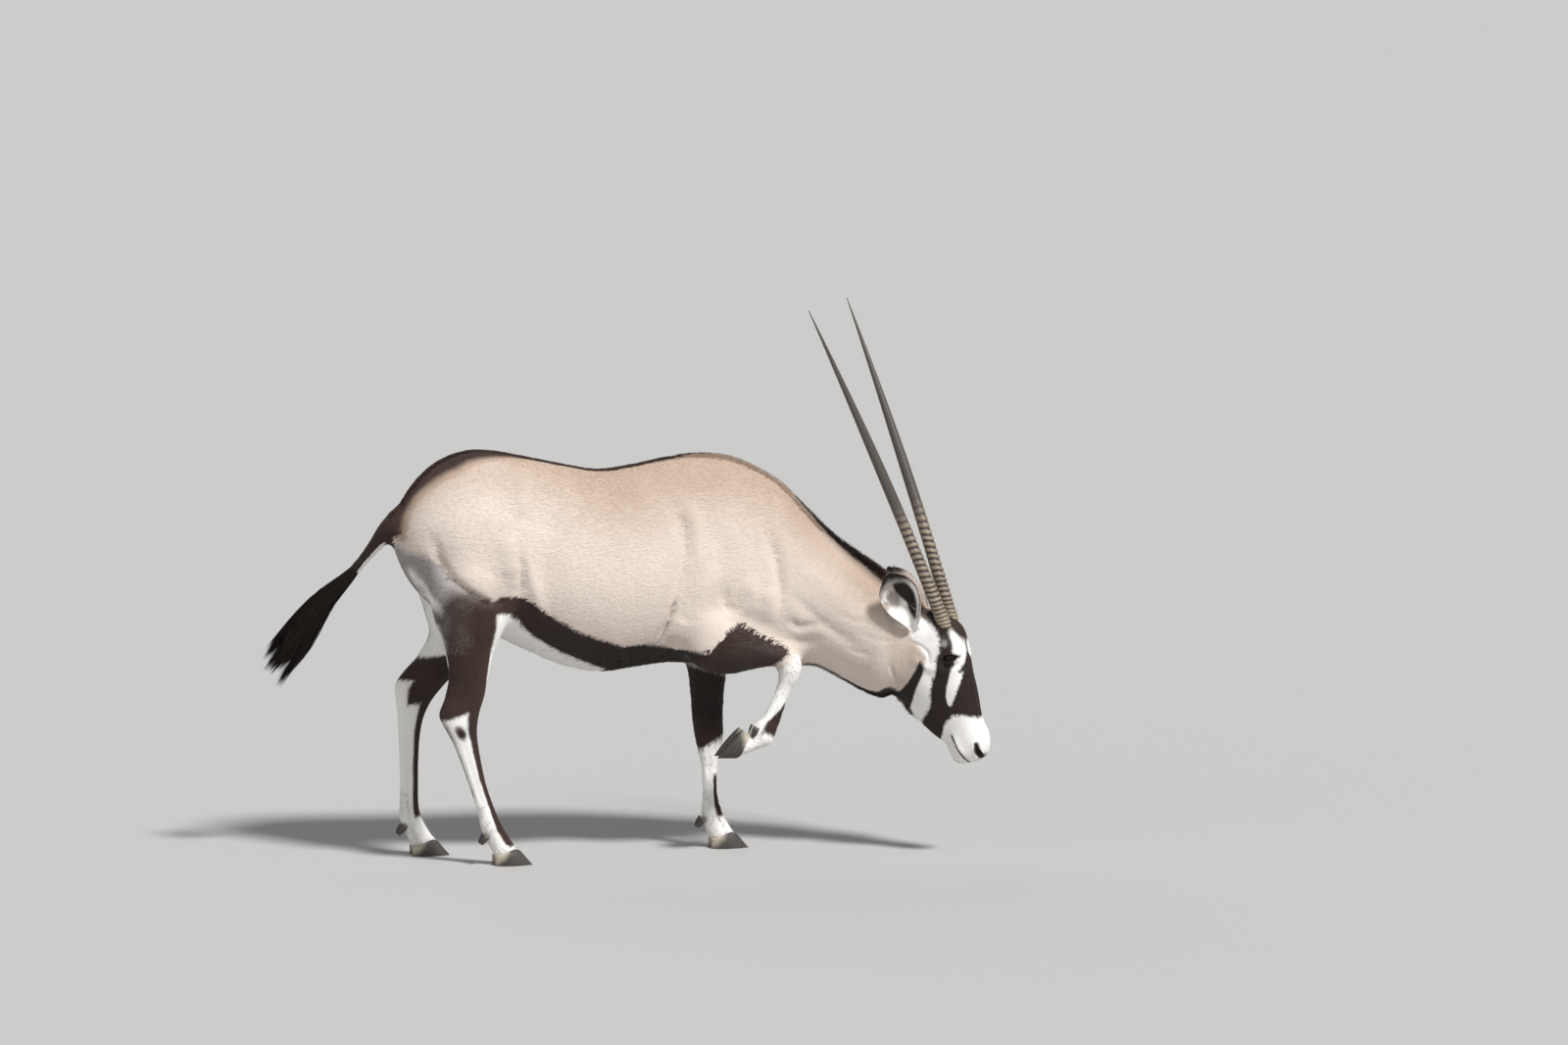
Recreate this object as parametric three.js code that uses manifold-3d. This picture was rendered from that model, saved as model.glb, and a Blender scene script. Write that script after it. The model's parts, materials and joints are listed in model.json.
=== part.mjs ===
// A gemsbok that wades with one foreleg raised, as a still, life-size model.
// Millimetres. +X is forward, +Y is the animal's left, +Z is up, and the floor is z = 0.
import * as THREE from 'three';
import { mergeVertices } from 'three/addons/utils/BufferGeometryUtils.js';
import Module from 'manifold-3d';

const wasm = await Module();
wasm.setup();

// Colours of the coat and the horn
const FAWN = 0xb7a18e;
const WHITE = 0xe6e0d8;
const DARK = 0x2e2422;
const HORN = 0x6b5b4b;
const HOOF = 0x35302e;
const EYE = 0x120c0a;

// Driving sizes
const SEAM = 0.3; // gap between two nodes that touch
const CUTTER = 4000; // edge of the boxes that cut, longer than the animal
const NECK_TURN = THREE.MathUtils.degToRad(-33.5); // heading of the head, seen from above
const BEND_START = 300; // distance along the body where the neck starts to turn
const BEND_END = 740; // distance along the body from where the head's heading holds
const SHORTEST_SPAN = 6; // least distance between two stations along a form
const WIDEST_LEVEL = 0.47; // height of the widest place of the trunk, from belly to back
const HEAD_WIDEST_LEVEL = 0.6; // the same on the head, from the jaw to the face
const EYE_PLACE = [992, 56, 590]; // centre of the eyeball, in the straightened frame
const EYE_RADIUS = 20;
const EYE_OPENING = { halfLength: 19, halfHeight: 8 };
const LID = [28, 22, 22]; // radii of the bulge of the lids round the eyeball
const LID_STEPS = 3; // edges along each lid
const LIP_BAND = 15; // width of both lips together
const LIP_HEIGHT = 1.8;
const MOUTH_SLIT = 2.6;
const MOUTH_CORE_HALF_WIDTH = 30; // the slit goes in no further than this from the middle
const NOSTRIL_PLACE = [1073, 27, 318];
const MOUTH_LINE = [[986, 354], [996, 330], [1012, 304], [1034, 268]]; // x and z, from its corner down
const EAR_LENGTH = 186;
const EARS = { // where each starts on its side of the head, and the way to its tip
  right: { start: [876, 52, 672], way: [-0.296, 0.349, 0.889] },
  left: { start: [870, 52, 685], way: [-0.62, 0.06, 0.78] },
};
const EAR_WALL = 6;
const HORN_RADIUS = 21; // near the head, over the rings
const HORN_TIP_RADIUS = 1;
const HORN_TAPER = 1.65; // above 1 the horn stays thick and narrows late
const HORN_FOOT_FLARE = 4; // how much wider it is where it leaves the head
const HORN_FLARE_REACH = 0.04; // part of the horn's length
const HORN_RINGS = 22;
const HORN_RINGED_PART = 0.37; // part of the horn's length that carries rings
const HORN_SMOOTH_FROM = 0.425; // where the last ring would fade out
const HORN_RING_HEIGHT = 2.2;
const HOOF_TOE = 66; // from the middle of the foot to the tip of the toe
const HOOF_HEEL = -45;
const HOOF_LEAN = 0.85; // how far the front of the hoof leans back for its height
const CLAW_HALF_WIDTH = 19;
const CLAW_TAPER = 0.6; // part of its width that a claw loses towards the toe
const CLAW_SPREAD = 21.5; // from the middle of the foot to the middle of a claw
const CLAW_PARTING = 2; // how much further apart the toes are than the heels
const CLAW_LEVELS = [0, 6, 26, 60]; // heights of a claw's sections, before the coronet cuts it
const CORONET_MIDDLE = [-8, 37]; // where the hoof meets the skin, in the foot's own x and z
const CORONET_SLOPE = 0.25;
const DEWCLAW = { radius: 11, length: 34 };
// Middle of a dewclaw in the foot's own frame, and how far its tip leans back from straight down.
const DEWCLAW_PLACE = { x: -78, y: 14, z: 74, lean: THREE.MathUtils.degToRad(35) };
const RAISED_DEWCLAW_PLACE = { x: -62, y: 19, z: 34, lean: THREE.MathUtils.degToRad(-108.6) };
const RAISED_FOOT_PITCH = THREE.MathUtils.degToRad(132.2);

// Trunk and neck, straightened. Each station: top x, top z, bottom x, bottom z, half width,
// and how sharp the back is (1 is round, more is a ridge).
const TRUNK = [
  [-699, 990, -699, 930, 12, 1.0], // under the root of the tail
  [-668, 1059, -665, 850, 78, 1.05],
  [-624, 1120, -625, 790, 122, 1.05],
  [-560, 1172, -560, 730, 158, 1.05],
  [-480, 1200, -480, 690, 178, 1.0], // croup
  [-400, 1198, -400, 655, 186, 0.95],
  [-310, 1180, -310, 612, 192, 0.92],
  [-200, 1155, -200, 562, 200, 0.92], // loin
  [-85, 1134, -85, 539, 204, 0.95], // lowest part of the belly
  [20, 1145, 20, 549, 200, 1.0],
  [120, 1164, 115, 558, 186, 1.1],
  [210, 1171, 200, 552, 168, 1.25], // withers
  [300, 1162, 285, 548, 156, 1.3],
  [380, 1130, 370, 542, 148, 1.25],
  [456, 1082, 440, 541, 140, 1.2], // point of the shoulder
  [518, 1016, 505, 549, 128, 1.15],
  [590, 941, 560, 546, 116, 1.15], // lower neck
  [660, 889, 612, 526, 108, 1.15],
  [720, 852, 662, 499, 101, 1.15],
  [775, 816, 710, 474, 94, 1.1],
  [830, 778, 758, 458, 90, 1.05], // throat
  [884, 736, 800, 470, 72, 1.0],
];

// Head, straightened: front x, front z, jaw x, jaw z, half width, sharpness of the face.
const HEAD = [
  [846, 736, 800, 496, 46, 1.0],
  [903, 726, 808, 466, 64, 0.9],
  [958, 704, 818, 451, 69, 0.85],
  [1000, 683, 832, 440, 70, 0.85], // between the horns
  [1020, 645, 846, 422, 74, 0.85],
  [1030, 598, 863, 404, 74, 0.88], // eyes
  [1040, 552, 881, 386, 64, 0.9],
  [1051, 508, 899, 370, 54, 0.9],
  [1060, 465, 917, 355, 47, 0.9],
  [1066, 425, 936, 342, 43, 0.9],
  [1074, 396, 952, 333, 42, 0.85],
  [1087, 372, 963, 316, 43, 0.85], // nose
  [1091, 343, 970, 299, 42, 0.85],
  [1088, 314, 979, 283, 37, 0.85],
  [1076, 293, 993, 273, 27, 0.9],
  [1056, 281, 1011, 270, 12, 1.0], // lips
];

// Legs. Each station: front x, front z, rear x, rear z, half width, sideways place.
const HIND_RIGHT = {
  stations: [
    [-430, 960, -580, 970, 30, -100],
    [-385, 870, -614, 872, 62, -108],
    [-366, 785, -610, 785, 72, -115],
    [-376, 727, -598, 718, 71, -117], // stifle
    [-396, 680, -578, 672, 64, -118],
    [-420, 624, -566, 620, 54, -116],
    [-436, 556, -558, 552, 44, -115],
    [-446, 500, -570, 494, 36, -114],
    [-463, 446, -587, 444, 34, -114], // hock
    [-469, 405, -572, 408, 32, -114],
    [-467, 360, -545, 358, 27, -114],
    [-446, 250, -502, 244, 22, -114],
    [-430, 198, -484, 188, 21, -114],
    [-412, 150, -470, 142, 25, -114],
    [-398, 118, -462, 106, 27, -114], // fetlock
    [-376, 82, -444, 66, 25, -114],
    [-352, 46, -424, 28, 28, -114],
    [-344, 34, -416, 16, 28, -114],
  ],
  joints: [8, 14],
  foot: [-379, -114, 0],
  pitch: 0,
};
const HIND_LEFT = {
  stations: [
    [-440, 960, -580, 970, 30, 100],
    [-405, 870, -608, 872, 62, 106],
    [-392, 785, -596, 785, 70, 113],
    [-408, 722, -574, 716, 68, 116], // stifle
    [-440, 655, -564, 650, 60, 117],
    [-458, 590, -600, 586, 50, 116],
    [-486, 532, -640, 545, 42, 115],
    [-524, 490, -669, 503, 36, 114],
    [-556, 452, -667, 465, 34, 114], // hock
    [-579, 405, -661, 412, 32, 114],
    [-590, 350, -659, 352, 26, 114],
    [-594, 290, -657, 290, 22, 114],
    [-595, 220, -655, 220, 21, 114],
    [-595, 160, -655, 156, 23, 114],
    [-590, 122, -655, 112, 27, 114], // fetlock
    [-572, 84, -640, 68, 25, 114],
    [-548, 46, -620, 28, 28, 114],
    [-540, 34, -612, 16, 28, 114],
  ],
  joints: [8, 14],
  foot: [-575, 114, 0],
  pitch: 0,
};
const FORE_LEFT = {
  stations: [
    [320, 850, 170, 830, 34, 104],
    [342, 720, 146, 700, 54, 106],
    [338, 600, 170, 606, 53, 90],
    [315, 505, 196, 520, 44, 72],
    [306, 440, 203, 445, 39, 64],
    [302, 382, 206, 385, 35, 58], // knee
    [302, 330, 213, 326, 34, 52],
    [292, 285, 224, 280, 29, 50],
    [284, 250, 231, 245, 23, 49],
    [282, 205, 234, 200, 21, 48],
    [283, 155, 235, 148, 23, 47],
    [292, 118, 232, 106, 26, 46], // fetlock
    [308, 84, 240, 66, 25, 46],
    [330, 46, 258, 28, 28, 46],
    [338, 34, 266, 16, 28, 46],
  ],
  joints: [6, 11],
  foot: [303, 46, 0],
  pitch: 0,
};
const FORE_RIGHT = {
  stations: [
    [215, 850, 120, 730, 40, -92],
    [245, 775, 128, 632, 56, -110],
    [283, 712, 186, 556, 58, -118], // elbow
    [322, 674, 268, 534, 52, -121],
    [372, 645, 345, 545, 42, -120],
    [425, 622, 400, 552, 35, -118],
    [468, 598, 418, 546, 34, -116],
    [496, 560, 425, 530, 34, -115], // knee
    [490, 520, 424, 508, 30, -114],
    [468, 485, 416, 482, 23, -113],
    [452, 445, 402, 452, 21, -112],
    [437, 401, 380, 408, 21, -111],
    [424, 364, 356, 388, 25, -110],
    [404, 322, 346, 376, 26, -110], // fetlock
    [367, 310, 340, 364, 25, -110],
    [334, 297, 338, 358, 27, -110],
    [300, 289, 334, 354, 28, -110],
    [288, 295, 322, 360, 28, -110],
  ],
  joints: [7, 13],
  foot: [284, -110, 340],
  pitch: RAISED_FOOT_PITCH,
  dewclaw: RAISED_DEWCLAW_PLACE,
};

// Where each leg is parted from the trunk: a point and the way the leg leaves, both x, y, z.
const THIGH_CUT = { point: [-480, 0, 700], way: [-0.15, 0, -1] };
const FOREARM_CUT = { point: [250, 0, 572], way: [0, 0, -1] };
const RAISED_ARM_CUT = { point: [305, 0, 600], way: [1, 0, -0.1] };
const NECK_CUT = { point: [470, 0, 800], way: [1, 0, 0.16] };
const POLL_CUT = { point: [828, 0, 620], way: [1, 0, -0.05] };

/** Bends the straightened body sideways: an arc along the neck, and a straight run on either side of it. */
function bendNeck(point) {
  const part = THREE.MathUtils.clamp((point.x - BEND_START) / (BEND_END - BEND_START), 0, 1);
  const heading = NECK_TURN * part;
  const radius = (BEND_END - BEND_START) / NECK_TURN;
  const before = Math.min(point.x, BEND_START);
  const beyond = Math.max(point.x - BEND_END, 0);
  const x = before + radius * Math.sin(heading) + beyond * Math.cos(NECK_TURN);
  const y = radius * (1 - Math.cos(heading)) + beyond * Math.sin(NECK_TURN);
  return new THREE.Vector3(x - point.y * Math.sin(heading), y + point.y * Math.cos(heading), point.z);
}

/** Carries the straightened head to its place as one stiff piece. */
function headPose() {
  const end = bendNeck(new THREE.Vector3(BEND_END, 0, 0));
  const turn = new THREE.Matrix4().makeRotationZ(NECK_TURN);
  const back = new THREE.Matrix4().makeTranslation(-BEND_END, 0, 0);
  return new THREE.Matrix4().makeTranslation(end).multiply(turn).multiply(back);
}
const HEAD_POSE = headPose();

/** The same point on the right (side -1) or the left (side 1) of the head, where it lies in the model. */
function onHead([x, y, z], side = 1) {
  return new THREE.Vector3(x, side * y, z).applyMatrix4(HEAD_POSE);
}

/** Adds rows between the keyed ones, `steps` to a span, by cubics through the keys with centred slopes. */
function blendRows(rows, key, steps) {
  const slopes = rows.map((row, i) => {
    const a = Math.max(i - 1, 0);
    const b = Math.min(i + 1, rows.length - 1);
    return row.map((_, k) => (rows[b][k] - rows[a][k]) / (key[b] - key[a]));
  });
  const out = [];
  for (let n = 0; n < steps * (rows.length - 1); n += 1) {
    const i = Math.floor(n / steps);
    const span = key[i + 1] - key[i];
    const t = n / steps - i;
    const start = (1 + 2 * t) * (1 - t) ** 2;
    const leave = t * (1 - t) ** 2 * span;
    const arrive = t * t * (t - 1) * span;
    out.push(rows[i].map((v, k) => (
      start * v + (1 - start) * rows[i + 1][k] + leave * slopes[i][k] + arrive * slopes[i + 1][k]
    )));
  }
  return [...out, rows[rows.length - 1]];
}

/** Distances along the middle line of stations that start with two points (x, z) of their outline. */
function middleLine(stations) {
  const key = [0];
  for (let i = 1; i < stations.length; i += 1) {
    const [a, b] = [stations[i - 1], stations[i]];
    const length = Math.hypot(b[0] + b[2] - a[0] - a[2], b[1] + b[3] - a[1] - a[3]) / 2;
    key.push(key[i - 1] + Math.max(length, SHORTEST_SPAN));
  }
  return key;
}

/** A closed solid from rings of points, with a flat cap on each end. */
function solidOfRings(rings) {
  const size = rings[0].length;
  const points = rings.flat();
  const faces = [];
  for (let i = 0; i + 1 < rings.length; i += 1) {
    for (let j = 0; j < size; j += 1) {
      const a = i * size + j;
      const b = i * size + ((j + 1) % size);
      faces.push([a, b, b + size], [a, b + size, a + size]);
    }
  }
  for (const [first, flip] of [[0, true], [(rings.length - 1) * size, false]]) {
    const middle = new THREE.Vector3();
    for (let j = 0; j < size; j += 1) middle.add(points[first + j]);
    points.push(middle.divideScalar(size));
    for (let j = 0; j < size; j += 1) {
      const a = first + j;
      const b = first + ((j + 1) % size);
      faces.push(flip ? [b, a, points.length - 1] : [a, b, points.length - 1]);
    }
  }
  return solidOfFaces(points, faces);
}

/** A solid of points and triangles, turned so that its faces point out. */
function solidOfFaces(points, faces) {
  let volume = 0;
  for (const [a, b, c] of faces) volume += points[a].dot(points[b].clone().cross(points[c]));
  const triangles = volume < 0 ? faces.map(([a, b, c]) => [a, c, b]) : faces;
  return new wasm.Manifold(new wasm.Mesh({
    numProp: 3,
    vertProperties: Float32Array.from(points.flatMap((p) => p.toArray())),
    triVerts: Uint32Array.from(triangles.flat()),
  }));
}

/** A solid of one of the closed three.js geometries. */
function solidOfGeometry(geometry) {
  geometry.deleteAttribute('normal');
  geometry.deleteAttribute('uv');
  const merged = mergeVertices(geometry, 1e-4);
  return new wasm.Manifold(new wasm.Mesh({
    numProp: 3,
    vertProperties: Float32Array.from(merged.getAttribute('position').array),
    triVerts: Uint32Array.from(merged.getIndex().array),
  }));
}

/** A point of a body section: an oval with its widest place at `level` and a ridge of its own sharpness. */
function sectionPoint([topX, topZ, bottomX, bottomZ, halfWidth, crest], angle, level, grow) {
  const reach = grow / Math.hypot(topX - bottomX, topZ - bottomZ);
  const up = Math.sin(angle);
  const part = up > 0 ? level + (1 - level + reach) * up : level + (level + reach) * up;
  const sharp = up > 0 ? crest : 1;
  const across = Math.sign(Math.cos(angle)) * Math.abs(Math.cos(angle)) ** sharp;
  return new THREE.Vector3(
    bottomX + (topX - bottomX) * part,
    (halfWidth + grow) * across,
    bottomZ + (topZ - bottomZ) * part,
  );
}

/** A body form from its stations; `place` carries its points to where they lie in the model. */
function bodyForm(stations, { sides, level, place, grow = 0 }) {
  const rings = blendRows(stations, middleLine(stations), 2).map((row) => {
    const ring = [];
    for (let j = 0; j < sides; j += 1) {
      ring.push(place(sectionPoint(row, (2 * Math.PI * j) / sides, level, grow)));
    }
    return ring;
  });
  return solidOfRings(rings);
}

const trunkForm = (grow = 0) => bodyForm(TRUNK, {
  sides: 24, level: WIDEST_LEVEL, place: bendNeck, grow,
});
const headForm = (grow = 0) => bodyForm(HEAD, {
  sides: 20, level: HEAD_WIDEST_LEVEL, place: (p) => p.applyMatrix4(HEAD_POSE), grow,
});

/** A leg's form from its stations, oval all the way down. */
function legForm({ stations }) {
  const rings = blendRows(stations, middleLine(stations), 2).map(([fx, fz, rx, rz, half, y]) => {
    const ring = [];
    const sides = 10;
    for (let j = 0; j < sides; j += 1) {
      const angle = (2 * Math.PI * j) / sides;
      const part = (1 + Math.sin(angle)) / 2;
      ring.push(new THREE.Vector3(rx + (fx - rx) * part, y + half * Math.cos(angle), rz + (fz - rz) * part));
    }
    return ring;
  });
  return solidOfRings(rings);
}

/** An ellipsoid at a place of the head, its first two radii along and across the head. */
function ellipsoid([x, y, z], [along, across, high], segments = 10) {
  const geometry = new THREE.SphereGeometry(1, segments, Math.round(segments * 0.6));
  geometry.scale(along, across, high);
  geometry.rotateZ(NECK_TURN);
  geometry.translate(x, y, z);
  return solidOfGeometry(geometry);
}

/** The half of space behind a plane, as a large box whose one face is the plane. */
function behind(point, way) {
  const geometry = new THREE.BoxGeometry(CUTTER, CUTTER, CUTTER);
  geometry.translate(0, 0, -CUTTER / 2);
  geometry.applyQuaternion(new THREE.Quaternion().setFromUnitVectors(new THREE.Vector3(0, 0, 1), way));
  geometry.translate(point.x, point.y, point.z);
  return solidOfGeometry(geometry);
}

/** Parts a solid by a plane and leaves the seam between the two: what lies behind, then what lies ahead. */
function partBy(solid, point, way) {
  const ahead = way.clone().normalize();
  const near = point.clone().addScaledVector(ahead, -SEAM / 2);
  const far = point.clone().addScaledVector(ahead, SEAM / 2);
  return [solid.intersect(behind(near, ahead)), solid.intersect(behind(far, ahead.clone().negate()))];
}

/** The plane of a named cut, in the model's own frame. */
function plane({ point, way }) {
  return [new THREE.Vector3(...point), new THREE.Vector3(...way).normalize()];
}

/** The plane of a cut that is stated on the straightened neck. */
function bentPlane({ point, way }) {
  const at = new THREE.Vector3(...point);
  const ahead = at.clone().add(new THREE.Vector3(...way));
  const start = bendNeck(at);
  return [start, bendNeck(ahead).sub(start).normalize()];
}

/** The plane that holds a leg station's front and rear points. */
function stationPlane([fx, fz, rx, rz], next) {
  const across = new THREE.Vector3(fx - rx, 0, fz - rz);
  const way = across.cross(new THREE.Vector3(0, 1, 0)).normalize();
  const down = new THREE.Vector3(next[0] + next[2] - fx - rx, 0, next[1] + next[3] - fz - rz);
  return [new THREE.Vector3((fx + rx) / 2, 0, (fz + rz) / 2), down.dot(way) < 0 ? way.negate() : way];
}

/** Keeps the largest closed piece of a solid. */
function largest(solid) {
  const pieces = solid.decompose();
  return pieces.reduce((best, piece) => (piece.volume() > best.volume() ? piece : best));
}

/** Carries the foot's own frame to where the foot stands or hangs. */
function footPose({ foot, pitch }) {
  return new THREE.Matrix4().makeTranslation(...foot).multiply(new THREE.Matrix4().makeRotationY(pitch));
}

/** The plane where hoof and skin meet. */
function coronetPlane(leg) {
  const pose = footPose(leg);
  const point = new THREE.Vector3(CORONET_MIDDLE[0], 0, CORONET_MIDDLE[1]).applyMatrix4(pose);
  const way = new THREE.Vector3(CORONET_SLOPE, 0, -1).normalize().transformDirection(pose);
  return [point, way];
}

/** One of the two claws of a hoof, lofted from its flat sole up: blunt heel, narrow toe. */
function claw(leg, side) {
  const pose = footPose(leg);
  const rings = CLAW_LEVELS.map((height) => {
    const toe = HOOF_TOE - HOOF_LEAN * height;
    const ring = [];
    const sides = 10;
    for (let j = 0; j < sides; j += 1) {
      const angle = (2 * Math.PI * j) / sides;
      const along = (1 + Math.cos(angle)) / 2;
      const taper = 1 - CLAW_TAPER * along ** 3;
      const y = side * (CLAW_SPREAD + CLAW_PARTING * along) + CLAW_HALF_WIDTH * taper * Math.sin(angle);
      ring.push(new THREE.Vector3(HOOF_HEEL + (toe - HOOF_HEEL) * along, y, height).applyMatrix4(pose));
    }
    return ring;
  });
  return partBy(solidOfRings(rings), ...coronetPlane(leg))[1];
}

/** The two small dewclaws behind the fetlock. */
function dewclaws(leg) {
  const pose = footPose(leg);
  const place = leg.dewclaw ?? DEWCLAW_PLACE;
  return [-1, 1].map((side) => {
    const geometry = new THREE.ConeGeometry(DEWCLAW.radius, DEWCLAW.length, 6);
    geometry.rotateX(-Math.PI / 2);
    geometry.rotateY(place.lean);
    geometry.translate(place.x, side * place.y, place.z);
    geometry.applyMatrix4(pose);
    return solidOfGeometry(geometry);
  });
}

/** A leg in its lengths, from the body down: the part that belongs to the trunk, then the leg's own nodes. */
function legLengths(leg, cut, trunkGrown) {
  const form = dewclaws(leg).reduce((whole, piece) => whole.add(piece), legForm(leg));
  const [onTrunk, free] = partBy(form, ...plane(cut));
  const lengths = [];
  let rest = largest(free.subtract(trunkGrown));
  for (const index of leg.joints) {
    const [upper, lower] = partBy(rest, ...stationPlane(leg.stations[index], leg.stations[index + 1]));
    lengths.push(largest(upper));
    rest = largest(lower);
  }
  lengths.push(largest(partBy(rest, ...coronetPlane(leg))[0]));
  return { onTrunk, lengths };
}

/** A thin sheet across the whole muzzle along the mouth line, or a band of that width. */
function mouthBand(width) {
  const line = new THREE.CatmullRomCurve3(MOUTH_LINE.map(([x, z]) => new THREE.Vector3(x, z, 0))).getPoints(5);
  const outline = [];
  for (const side of [1, -1]) {
    const edge = line.map((p, i) => {
      const a = line[Math.max(i - 1, 0)];
      const b = line[Math.min(i + 1, line.length - 1)];
      const across = new THREE.Vector3(a.y - b.y, b.x - a.x, 0).normalize();
      return p.clone().addScaledVector(across, (side * width) / 2);
    });
    outline.push(...(side > 0 ? edge : edge.reverse()));
  }
  const shape = new THREE.Shape(outline.map((p) => new THREE.Vector2(p.x, p.y)));
  const geometry = new THREE.ExtrudeGeometry(shape, { depth: 160, bevelEnabled: false });
  geometry.translate(0, 0, -80);
  geometry.rotateX(Math.PI / 2);
  geometry.applyMatrix4(HEAD_POSE);
  return solidOfGeometry(geometry);
}

/** An upright lens that points out of the head at the eye: two arcs that meet at the corners. */
function eyeLens(side, { halfLength, halfHeight }) {
  const radius = (halfLength ** 2 + halfHeight ** 2) / (2 * halfHeight);
  const half = Math.asin(halfLength / radius);
  const outline = [];
  for (const face of [1, -1]) {
    for (let i = 0; i < LID_STEPS; i += 1) {
      const angle = face * half * ((2 * i) / LID_STEPS - 1);
      const height = radius * Math.cos(angle) - radius + halfHeight;
      outline.push(new THREE.Vector2(radius * Math.sin(angle), face * height));
    }
  }
  const depth = 60;
  const geometry = new THREE.ExtrudeGeometry(new THREE.Shape(outline), { depth, bevelEnabled: false });
  geometry.rotateX(Math.PI / 2);
  geometry.translate(EYE_PLACE[0], side * (EYE_PLACE[1] + depth / 2 - 6) + depth / 2, EYE_PLACE[2]);
  geometry.applyMatrix4(HEAD_POSE);
  return solidOfGeometry(geometry);
}

/** The eyeball, or the socket that holds it with the seam all round. */
function eyeball(side, grow = 0) {
  const geometry = new THREE.SphereGeometry(EYE_RADIUS + grow, 12, 7);
  geometry.rotateX((-side * Math.PI) / 2);
  const [x, y, z] = onHead(EYE_PLACE, side).toArray();
  geometry.applyMatrix4(new THREE.Matrix4().makeRotationZ(NECK_TURN));
  geometry.translate(x, y, z);
  return solidOfGeometry(geometry);
}

/** The head's own features: brow and lids round the eyes, lips and the mouth line, and the nostrils. */
function withFace(head) {
  const lips = mouthBand(LIP_BAND).intersect(headForm(LIP_HEIGHT));
  let face = head.add(lips);
  const carry = (place, side) => onHead(place, side).toArray();
  for (const side of [-1, 1]) {
    const lid = ellipsoid(carry([EYE_PLACE[0], EYE_PLACE[1], EYE_PLACE[2] + 2], side), LID);
    const rim = ellipsoid(carry(NOSTRIL_PLACE, side), [13, 12, 17], 8);
    face = face.add(lid).add(rim.intersect(headForm(3)));
  }
  for (const side of [-1, 1]) {
    const mouth = [NOSTRIL_PLACE[0] + 5, NOSTRIL_PLACE[1] + 9, NOSTRIL_PLACE[2]];
    const pit = ellipsoid(carry(mouth, side), [8, 12, 12], 8);
    face = face.subtract(eyeball(side, SEAM)).subtract(eyeLens(side, EYE_OPENING)).subtract(pit);
  }
  const core = new THREE.BoxGeometry(200, 2 * MOUTH_CORE_HALF_WIDTH, 240);
  core.translate(MOUTH_LINE[0][0], 0, MOUTH_LINE[0][1]);
  core.applyMatrix4(HEAD_POSE);
  const slit = mouthBand(MOUTH_SLIT).subtract(solidOfGeometry(core));
  return largest(face.subtract(slit));
}

/** A cupped ear: crescent sections along a line from its root to its tip, on a closed root. */
function ear(side, { start, way }, headGrown) {
  const root = new THREE.Vector3(...start);
  const along = new THREE.Vector3(...way).normalize();
  const opening = new THREE.Vector3(0.36, 0.93, 0);
  opening.addScaledVector(along, -opening.dot(along)).normalize();
  const across = along.clone().cross(opening).normalize();
  // part of the length, half width, depth of the cup, and how far the edges curl round, in degrees
  const sections = [
    [0, 19, 26, 150],
    [0.15, 34, 36, 140],
    [0.35, 51, 38, 118],
    [0.58, 59, 32, 100],
    [0.78, 49, 22, 88],
    [0.93, 26, 11, 78],
    [1, 5, 4, 70],
  ];
  const key = sections.map(([part]) => part);
  const rings = blendRows(sections, key, 2).map(([part, halfWidth, depth, curl]) => {
    const ring = [];
    const steps = 6;
    for (const [inner, turn] of [[0, 1], [EAR_WALL, -1]]) {
      for (let i = 0; i <= steps; i += 1) {
        const angle = THREE.MathUtils.degToRad(curl) * turn * ((2 * i) / steps - 1);
        const wide = Math.max(halfWidth - inner, halfWidth * 0.35);
        const deep = Math.max(depth - inner, depth * 0.35);
        const p = root.clone().addScaledVector(along, part * EAR_LENGTH);
        p.addScaledVector(across, wide * Math.sin(angle));
        p.addScaledVector(opening, -deep * Math.cos(angle));
        ring.push(onHead([p.x, p.y, p.z], side));
      }
    }
    return ring;
  });
  const stub = ellipsoid(onHead([root.x - 4, root.y + 6, root.z + 14], side).toArray(), [24, 24, 30], 8);
  return largest(solidOfRings(rings).add(stub).subtract(headGrown));
}

/** A straight, slender horn that bends slightly back, ringed along its lower third. */
function horn(side, headGrown) {
  const path = new THREE.QuadraticBezierCurve3(
    new THREE.Vector3(976, 29, 648),
    new THREE.Vector3(801, 98, 1130),
    new THREE.Vector3(590, 163, 1602),
  );
  const stations = [];
  for (let i = 0; i <= 2 * HORN_RINGS; i += 1) {
    stations.push([(HORN_RINGED_PART * i) / (2 * HORN_RINGS), i % 2]);
  }
  for (const part of [0.45, 0.55, 0.65, 0.75, 0.84, 0.92, 0.97, 1]) stations.push([part, 0]);
  const rings = stations.map(([part, ridge]) => {
    const middle = path.getPoint(part);
    const way = path.getTangent(part);
    const wide = new THREE.Vector3(0, 1, 0).addScaledVector(way, -way.y).normalize();
    const deep = way.clone().cross(wide);
    const fade = THREE.MathUtils.clamp(2 * (1 - part / HORN_SMOOTH_FROM), 0, 1);
    const flare = HORN_FOOT_FLARE * Math.exp(-((part / HORN_FLARE_REACH) ** 2));
    const taper = HORN_TIP_RADIUS + HORN_RADIUS * (1 - part ** HORN_TAPER) + flare;
    const ring = [];
    const sides = 8;
    for (let j = 0; j < sides; j += 1) {
      const angle = (2 * Math.PI * j) / sides;
      const radius = taper - (1 - ridge) * fade * HORN_RING_HEIGHT;
      const p = middle.clone().addScaledVector(wide, radius * Math.cos(angle));
      p.addScaledVector(deep, radius * Math.sin(angle));
      ring.push(onHead([p.x, p.y, p.z], side));
    }
    return ring;
  });
  return largest(solidOfRings(rings).subtract(headGrown));
}

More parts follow.
